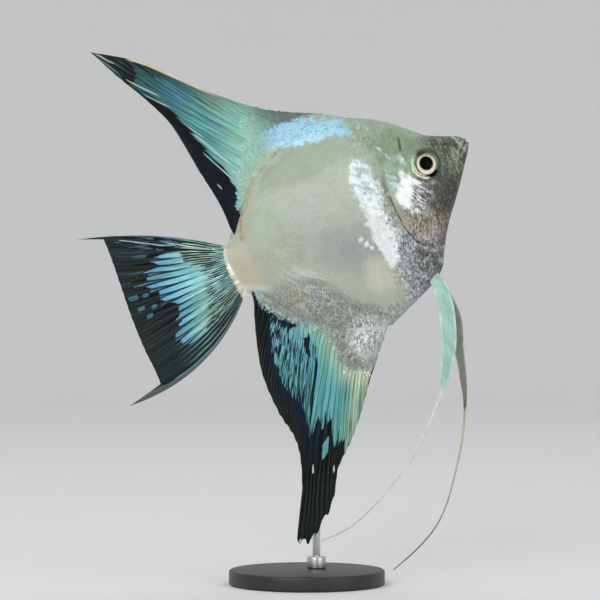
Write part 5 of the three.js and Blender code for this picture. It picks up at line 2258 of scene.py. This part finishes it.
@dataclass(frozen=True)
class Plate:
    """The pattern that every scale is cut to: a thin rounded leaf with its skirt sunk in the skin."""

    runs: tuple[float, ...] = (0.0, 0.45, 0.85, 1.0)
    sides: tuple[float, ...] = (-1.0, -0.55, 0.0, 0.55, 1.0)

    def grid(self) -> tuple[Array, Array]:
        """How far along and across each point of the upper face is."""
        run, side = np.meshgrid(self.runs, self.sides, indexing="ij")
        return run.ravel(), side.ravel()

    def outline(self) -> tuple[Array, Array]:
        """Where each point lies, in lengths and half widths.

        Returns:
            How far along and how far to the side.
        """
        run, side = self.grid()
        rounded = np.sqrt(np.clip(1 - ((run - 0.45) / 0.78) ** 2, 0, 1))
        width = np.where(run < 0.45, 0.6 + 0.4 * run / 0.45, rounded)
        return run - 0.2 * run**2 * side**2, side * width

    def rim(self) -> list[int]:
        """The points round the edge, in order.

        Returns:
            The points' numbers.
        """
        rows, columns = len(self.runs), len(self.sides)
        first = list(range(columns))
        right = [r * columns + columns - 1 for r in range(1, rows)]
        last = [(rows - 1) * columns + c for c in range(columns - 2, -1, -1)]
        left = [r * columns for r in range(rows - 2, 0, -1)]
        return first + right + last + left

    def faces(self) -> tuple[list[tuple[int, ...]], int]:
        """The faces of one scale and how many points it has.

        Returns:
            The faces and the number of points.
        """
        rows, columns = len(self.runs), len(self.sides)
        count, rim = rows * columns, self.rim()
        faces = [
            (r * columns + c, (r + 1) * columns + c, (r + 1) * columns + c + 1, r * columns + c + 1)
            for r in range(rows - 1)
            for c in range(columns - 1)
        ]
        low = {index: count + k for k, index in enumerate(rim)}
        for here, there in zip(rim, rim[1:] + rim[:1]):
            faces.append((here, there, low[there], low[here]))
        faces.append(tuple(low[index] for index in rim))
        return faces, count + len(rim)


PLATE = Plate()


def fin_point(a: Array, b: Array, lift: Array, side: int, middle: Array, half: Array) -> Array:
    """A point on one face of a fin, or off it.

    Args:
        a: places along the fish.
        b: their heights.
        lift: millimetres outwards from the face.
        side: -1 for the right face and 1 for the left.
        middle: how far to the left the fin's middle surface lies there.
        half: half its thickness there.

    Returns:
        Points of the model, in metres.
    """
    return FISH.place(a, middle + side * (half + lift + 0.02), b)


@dataclass(frozen=True)
class Patch:
    """The scales of one stretch of the fish, as one joined mesh."""

    name: str
    spacing: float
    lift: float
    row_share: float = 0.6
    jitter: float = 0.05
    seed: int = 3

    def lattice(self, low: Spot, high: Spot) -> tuple[Array, Array]:
        """Rows of roots, every second row moved on by half a scale.

        Args:
            low: the lowest corner of the stretch.
            high: its highest corner.

        Returns:
            The roots' places along the fish and their heights.
        """
        rng = np.random.default_rng(self.seed)
        step = self.spacing * self.row_share
        a, b = np.meshgrid(
            np.arange(low[0], high[0], self.spacing), np.arange(low[1], high[1], step), indexing="ij"
        )
        a = a + (np.round((b - low[1]) / step) % 2) * self.spacing / 2
        shift = rng.normal(0, self.jitter * self.spacing, (2, *a.shape))
        return (a + shift[0]).ravel(), (b + shift[1] * 0.6).ravel()

    def build(
        self,
        roots: tuple[Array, Array],
        heading: Array,
        place: Callable[..., Array],
        root_uv: Array,
        material: Material,
        size: Numbers = 1.0,
        lift: Numbers = 1.0,
        tint: Array | None = None,
    ) -> None:
        """Builds and dresses the patch.

        Args:
            roots: where each scale is rooted on the flank.
            heading: the direction that each lies in, in radians from the snout's.
            place: the point of the model for places on the fish, their heights and a lift off the skin.
            root_uv: each root's place on the skin's unwrap.
            material: the finish.
            size: how large each scale is against the spacing.
            lift: how far each one's rear edge stands up, against the patch's own lift.
            tint: each scale's colour, where it is not the one that the markings have at that place.
        """
        a0, b0 = roots
        count = len(a0)
        rng = np.random.default_rng(self.seed + 1)
        faces, per_scale = PLATE.faces()
        run, side = PLATE.outline()
        raw_run, raw_side = PLATE.grid()
        rim = PLATE.rim()
        run, side = np.concatenate([run, run[rim]]), np.concatenate([side, side[rim]])
        raw_run = np.concatenate([raw_run, raw_run[rim]])
        raw_side = np.concatenate([raw_side, raw_side[rim]])
        length = (self.spacing * 1.5 * size * (1 + rng.normal(0, self.jitter, count)))[:, None]
        half = (self.spacing * 0.56 * size * (1 + rng.normal(0, self.jitter, count)))[:, None]
        turn = (heading + rng.normal(0, 2.2 * self.jitter, count))[:, None]
        along, across = run[None] * length, side[None] * half
        a = a0[:, None] + along * np.cos(turn) - across * np.sin(turn)
        b = b0[:, None] + along * np.sin(turn) + across * np.cos(turn)
        rise = (self.lift * lift * (0.8 + 0.4 * rng.random(count)))[:, None]
        height = -0.03 + rise * raw_run[None] ** 1.3 + 0.012 * (1 - raw_side[None] ** 2)
        sunk = np.zeros(per_scale, bool)
        sunk[-len(rim):] = True
        height = np.where(sunk[None], np.minimum(height - 0.1, -0.06), height)
        points = place(a.ravel(), b.ravel(), lift=height.ravel())
        table = np.array([face for face in faces[:-1]])
        base = np.arange(count)[:, None, None] * per_scale
        quads = (table[None] + base).reshape(-1, 4)
        lids = np.array(faces[-1])[None] + np.arange(count)[:, None] * per_scale
        mesh = bpy.data.meshes.new(self.name)
        self.fill(mesh, points, quads, lids)
        piece = bpy.data.objects.new(self.name, mesh)
        bpy.context.scene.collection.objects.link(piece)
        luck = np.repeat(rng.random(count), per_scale)
        set_attribute(piece, "plate", four(luck, np.tile(raw_run, count), np.abs(np.tile(raw_side, count))))
        own = MARKINGS.tint(a.ravel(), b.ravel()) if tint is None else np.repeat(tint, per_scale, 0)
        set_attribute(piece, "tint", own)
        set_attribute(piece, "traits", np.repeat(MARKINGS.traits(a0, b0), per_scale, 0))
        set_attribute(piece, "strokes", four(MARKINGS.ribs(a, b).ravel()))
        corner = np.empty(len(mesh.loops), int)
        mesh.loops.foreach_get("vertex_index", corner)
        spot = np.stack([np.tile(run - 0.5, count), np.tile(side * 0.5, count)], axis=-1) * 0.003
        uv = (np.repeat(root_uv, per_scale, 0) + spot)[corner]
        mesh.uv_layers.new(name="OFBake").data.foreach_set("uv", uv.astype(np.float32).ravel())
        only(piece)
        bpy.ops.object.shade_smooth_by_angle(angle=math.radians(48))
        dress(piece, material, "skin")

    def fill(self, mesh: bpy.types.Mesh, points: Array, quads: Array, lids: Array) -> None:
        """Puts points and faces into an empty mesh.

        Args:
            mesh: the mesh.
            points: the points, in metres.
            quads: the faces with four corners, as their points' numbers.
            lids: the faces with more corners, which are all of one size.
        """
        mesh.vertices.add(len(points))
        mesh.vertices.foreach_set("co", points.ravel())
        corners = np.concatenate([quads.ravel(), lids.ravel()])
        sizes = np.concatenate([np.full(len(quads), 4), np.full(len(lids), lids.shape[1])])
        mesh.loops.add(len(corners))
        mesh.loops.foreach_set("vertex_index", corners)
        mesh.polygons.add(len(sizes))
        mesh.polygons.foreach_set("loop_start", np.concatenate([[0], np.cumsum(sizes)[:-1]]))
        mesh.update(calc_edges=True)
        mesh.validate()


@dataclass
class Coat:
    """All the scales: large and flat on the flank, small at its edges and on the roots of the fins."""

    material: Material = field(init=False)

    def __post_init__(self) -> None:
        """Makes the one material of all the scales."""
        self.material = SkinFinish("fish_scales", plates=True).make()

    def zones(self, a: Array, b: Array) -> tuple[Array, Array, Array]:
        """Which roots belong to the flank, to its border and to the head.

        Args:
            a: places along the fish.
            b: their heights.

        Returns:
            One mask for each.
        """
        cover = GILL_EDGE.near(a, b)[1]
        head = (cover > 0.4) | ((b > 12) & (a > 24.5))
        inside = (BODY.edge_depth(a, b) > 0.45) & (a > -36.0) & (a < 47)
        bare = ORBIT.reach(a, b) < 7.0
        bare |= (a > 43.0) | (MOUTH.near(a, b)[0] < 2.5) | (np.abs(cover) < 0.35)
        bare |= head & (a > 37) & (b > -2)
        bare |= MARKINGS.opercle(a, b) > 0.5
        breast = (a > 6) & (b + 0.5 * (a - 20) < -19)
        outer = (FLANK_ARC.near(a, b)[1] < -0.3) | breast | (a < -28) | (BODY.edge_share(a, b) > 0.86)
        shown = inside & ~bare
        return shown & ~head & ~outer, shown & ~head & outer, shown & head

    def flank_heading(self, a: Array, b: Array) -> Array:
        """Scales point to the tail and turn a little towards the keel and the back."""
        t = (b - BODY.middle(a)) / BODY.half_height(a)
        return math.pi - 0.35 * t * smooth(np.abs(t), 0.3, 1.0)

    def build_flanks(self) -> None:
        """Builds the scales of head and body on both sides."""
        for name, side in (("right", -1), ("left", 1)):
            patches = (
                Patch(f"coat_flank_{name}", 1.75, 0.035, seed=5 + side),
                Patch(f"coat_border_{name}", 0.92, 0.045, jitter=0.1, seed=15 + side),
                Patch(f"coat_head_{name}", 0.82, 0.042, jitter=0.11, seed=25 + side),
            )
            for zone, patch in enumerate(patches):
                a, b = patch.lattice((-36, -42), (47, 30))
                keep = self.zones(a, b)[zone]
                a, b = a[keep], b[keep]
                heading = self.flank_heading(a, b)
                near_face = smooth(a, 30, 42)
                patch.build(
                    (a, b), heading, partial(flank_point, side=side), unwrapped(a, b, side), self.material,
                    size=1 - 0.25 * near_face, lift=1 - 0.5 * near_face,
                )

    def build_fin_roots(self, name: str, fin: "DorsalFin | AnalFin", lane: float, grow: float) -> None:
        """Builds the small scales on both faces of a fin's root.

        Args:
            name: the piece's name.
            fin: the fin that they stand on.
            lane: the strip of the unwrap that these roots have.
            grow: the spacing of the scales.
        """
        sheet, edge = fin.sheet, fin.scales_edge
        patch = Patch(name, grow, 0.045, jitter=0.12, seed=41)
        grid_u, grid_v = np.meshgrid(np.linspace(0, 1, 260), np.linspace(-sheet.sunk, 1, 200), indexing="ij")
        grid_u, grid_v = grid_u.ravel(), grid_v.ravel()
        sa, _, sb = sheet.at(grid_u, grid_v)
        low, high = (sa.min(), sb.min()), (sa.max(), sb.max())
        a, b = patch.lattice(low, high)
        sparse = np.random.default_rng(patch.seed + 2).random(len(a)) ** 2
        signed = edge.near(a, b)[1] + 2.4 * (WEAVE.at(a / 1.5, b / 1.5) - 0.5) - 4.5 * sparse + 1.2
        keep = (signed > 0) & (BODY.edge_depth(a, b) < 0.9)
        a, b = a[keep], b[keep]
        tree_index = self.nearest(a, b, sa, sb)
        u, v = grid_u[tree_index], grid_v[tree_index]
        gap = np.hypot(a - sa[tree_index], b - sb[tree_index])
        keep = (gap < 0.35) & (v < 0.94) & (v > -0.045) & (u > 0.004) & (u < 0.996)
        a, b, u, v = a[keep], b[keep], u[keep], v[keep]
        ahead = sheet.at(u, np.minimum(v + 0.02, 1))
        behind = sheet.at(u, np.maximum(v - 0.02, 0))
        heading = np.arctan2(ahead[2] - behind[2], ahead[0] - behind[0])
        tip_a, tip_b = a + 1.6 * grow * np.cos(heading), b + 1.6 * grow * np.sin(heading)
        below_tip = self.nearest(tip_a, tip_b, sa, sb)
        reach = np.hypot(*(sheet.margin.at(u, column) - sheet.base.at(u, column) for column in (1, 2)))
        clear = (1 - grid_v[below_tip]) * reach > 0.9
        keep = (np.hypot(tip_a - sa[below_tip], tip_b - sb[below_tip]) < 0.3) & clear
        a, b, u, v, heading = a[keep], b[keep], u[keep], v[keep], heading[keep]
        lengths = np.repeat(np.stack([u, v], axis=-1), PLATE.faces()[1], 0)
        y_mid = sheet.at(lengths[:, 0], lengths[:, 1])[1]
        half = sheet.half_thickness(lengths[:, 0], lengths[:, 1])
        tint = fin.painted(u, v, a, b)[0]
        for side_name, side in (("right", -1), ("left", 1)):
            uv = np.stack([map_along(a), np.full(len(a), lane + 0.006 * side)], axis=-1)
            Patch(f"{name}_{side_name}", grow, 0.045, jitter=0.12, seed=41 + side).build(
                (a, b), heading, partial(fin_point, side=side, middle=y_mid, half=half),
                np.clip(uv, 0.004, 0.996), self.material, size=0.9, lift=1 - 0.4 * v, tint=tint,
            )

    def nearest(self, a: Array, b: Array, sa: Array, sb: Array) -> Array:
        """The sample of a sheet that lies nearest to each place.

        Args:
            a: places along the fish.
            b: their heights.
            sa: the samples' places along the fish.
            sb: their heights.

        Returns:
            The samples' numbers.
        """
        found = np.empty(len(a), int)
        for start in range(0, len(a), 200):
            part = slice(start, start + 200)
            found[part] = np.argmin((a[part, None] - sa) ** 2 + (b[part, None] - sb) ** 2, axis=1)
        return found


# ---- stand, stage, light


@dataclass(frozen=True)
class Stand:
    """A round black base with a steel rod in a collar."""

    rod_at: Spot = (3.2, 3.7)
    rod_radius: float = 1.3
    base_radius: float = 26.0
    base_height: float = 5.0
    collar_radius: float = 3.2
    collar_height: float = 4.0

    def turned(self, name: str, radius: float, low: float, high: float, at: Spot, edge: float) -> Object:
        """A turned disc or bar with softened edges.

        Args:
            name: the piece's name.
            radius: its radius, in millimetres like the rest.
            low: the height of its underside.
            high: the height of its top.
            at: its axis.
            edge: how wide its softened edges are.

        Returns:
            The piece.
        """
        bpy.ops.mesh.primitive_cylinder_add(
            vertices=128, radius=radius * MM, depth=(high - low) * MM, end_fill_type="NGON",
            location=(at[0] * MM, at[1] * MM, (low + high) / 2 * MM),
        )
        piece = named(name)
        bpy.ops.object.transform_apply(location=True, rotation=True, scale=True)
        only(piece)
        soft = piece.modifiers.new("edge", "BEVEL")
        soft.width = edge * MM
        soft.segments = 4
        soft.limit_method = "ANGLE"
        bpy.ops.object.modifier_apply(modifier=soft.name)
        bpy.ops.object.shade_smooth_by_angle(angle=math.radians(35))
        return piece

    def build(self) -> None:
        """Builds and dresses the stand."""
        black = PlainFinish("stand_black", paint(34, 34, 36), 0.42).make()
        steel = PlainFinish("stand_steel", paint(196, 198, 200), 0.3, 1.0, (0.2, 0.2, 3.0)).make()
        base = self.turned("base_disc", self.base_radius, 0, self.base_height, (0, 0), 0.8)
        dress(base, black, "stand_base", ["stand_base"])
        top = self.base_height + self.collar_height
        collar = self.turned("rod_collar", self.collar_radius, self.base_height, top, self.rod_at, 0.5)
        dress(collar, steel, "stand_rod", ["stand_collar"])
        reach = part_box("stand_rod")[1].z / MM + 0.35
        rod = self.turned("rod", self.rod_radius, self.base_height + 0.5, reach, self.rod_at, 0.15)
        dress(rod, steel, "stand_rod", ["stand_rod"])


@dataclass(frozen=True)
class Studio:
    """A pale floor that curves up behind, soft lights and the camera."""

    camera_at: tuple[float, float, float] = (-0.0023, -0.9, 0.0948)
    lens: float = 162.0
    radius: float = 2.6
    height: float = 2.8

    def floor(self) -> None:
        """The floor and a round backdrop, in one sheet that curves up between them."""
        bpy.ops.mesh.primitive_cylinder_add(
            vertices=160, radius=self.radius, depth=self.height, end_fill_type="NGON",
            location=(0, 0, self.height / 2),
        )
        sheet = named("floor")
        bpy.ops.object.transform_apply(location=True, rotation=True, scale=True)
        only(sheet)
        bpy.ops.object.mode_set(mode="EDIT")
        bpy.ops.mesh.select_mode(type="FACE")
        bpy.ops.mesh.select_all(action="DESELECT")
        bpy.ops.object.mode_set(mode="OBJECT")
        for face in sheet.data.polygons:
            face.select = face.normal.z > 0.5
        bpy.ops.object.mode_set(mode="EDIT")
        bpy.ops.mesh.delete(type="FACE")
        bpy.ops.mesh.select_all(action="SELECT")
        bpy.ops.mesh.flip_normals()
        bpy.ops.object.mode_set(mode="OBJECT")
        curve = sheet.modifiers.new("curve", "BEVEL")
        curve.width, curve.segments = 1.2, 24
        curve.limit_method, curve.angle_limit = "ANGLE", math.radians(60)
        bpy.ops.object.modifier_apply(modifier=curve.name)
        bpy.ops.object.shade_smooth()
        plain = Recipe("backdrop")
        plain.set(Base_Color=(0.74, 0.74, 0.74), Roughness=0.9)
        sheet.data.materials.append(plain.material)
        sheet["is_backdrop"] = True

    def light(
        self, name: str, at: tuple[float, float, float], size: float, power: float, colour: Colour,
        towards: tuple[float, float, float] = (0.0, 0.0, 0.1),
    ) -> None:
        """Adds a square soft light.

        Args:
            name: its name.
            at: where it hangs.
            size: the side of the square.
            power: its power in watts.
            colour: the colour of its light.
            towards: what it faces.
        """
        lamp = bpy.data.lights.new(name, "AREA")
        lamp.shape, lamp.size, lamp.energy, lamp.color = "SQUARE", size, power, colour
        holder = bpy.data.objects.new(name, lamp)
        bpy.context.scene.collection.objects.link(holder)
        holder.location = at
        aim = Vector(towards) - holder.location
        holder.rotation_euler = aim.to_track_quat("-Z", "Y").to_euler()

    def build(self) -> None:
        """Sets up the stage."""
        self.floor()
        self.light("key", (-0.5, -1.1, 0.6), 0.8, 7.2, (1.0, 0.99, 0.97))
        self.light("fill", (0.9, -0.9, 0.3), 0.8, 3.4, (0.96, 0.98, 1.0))
        self.light("top", (0.0, 0.2, 1.1), 1.0, 2.8, (1.0, 1.0, 1.0))
        for turn in range(4):
            c, t = math.cos(math.radians(45 + 90 * turn)), math.sin(math.radians(45 + 90 * turn))
            wash = (1.3 * c, 1.3 * t, 1.9), (2.6 * c, 2.6 * t, 0.4)
            self.light(f"wall_{turn + 1}", wash[0], 1.2, 8.5, (1.0, 1.0, 1.0), wash[1])
        world = bpy.data.worlds.new("room")
        world.use_nodes = True
        world.node_tree.nodes["Background"].inputs[0].default_value = (0.95, 0.97, 1.0, 1.0)
        world.node_tree.nodes["Background"].inputs[1].default_value = 0.4
        bpy.context.scene.world = world
        lens = bpy.data.cameras.new("camera")
        lens.lens, lens.sensor_width = self.lens, 36.0
        camera = bpy.data.objects.new("camera", lens)
        camera.location = self.camera_at
        camera.rotation_euler = (math.pi / 2, 0, 0)
        bpy.context.scene.collection.objects.link(camera)
        bpy.context.scene.camera = camera
        bpy.context.scene.view_settings.view_transform = "Standard"


def corners(box: tuple) -> list[list[float]]:
    """The two corners of a box as plain numbers."""
    return [[float(value) for value in corner] for corner in box]


def main() -> None:
    """Builds the fish, its stand and the stage, piece by piece."""
    logging.basicConfig(level=logging.INFO, format="%(name)s %(message)s")
    deselect()
    solid_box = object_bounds()
    Skin().build()
    dorsal, tail, anal = DorsalFin(), TailFin(), AnalFin()
    for fin in (dorsal, tail, anal):
        fin.build()
    PelvicFins().build()
    PectoralFins().build()
    globe, dome = EyeFinish().make(), CorneaFinish().make()
    for side in (-1, 1):
        Eye(side).build(globe, dome)
    coat = Coat()
    coat.build_flanks()
    coat.build_fin_roots("coat_dorsal_root", dorsal, 0.5, 0.95)
    coat.build_fin_roots("coat_anal_root", anal, 0.012, 0.9)
    Stand().build()
    Studio().build()
    deselect()
    {"solids": corners(solid_box), "shown": corners(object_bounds())}


if __name__ == "__main__":
    main()
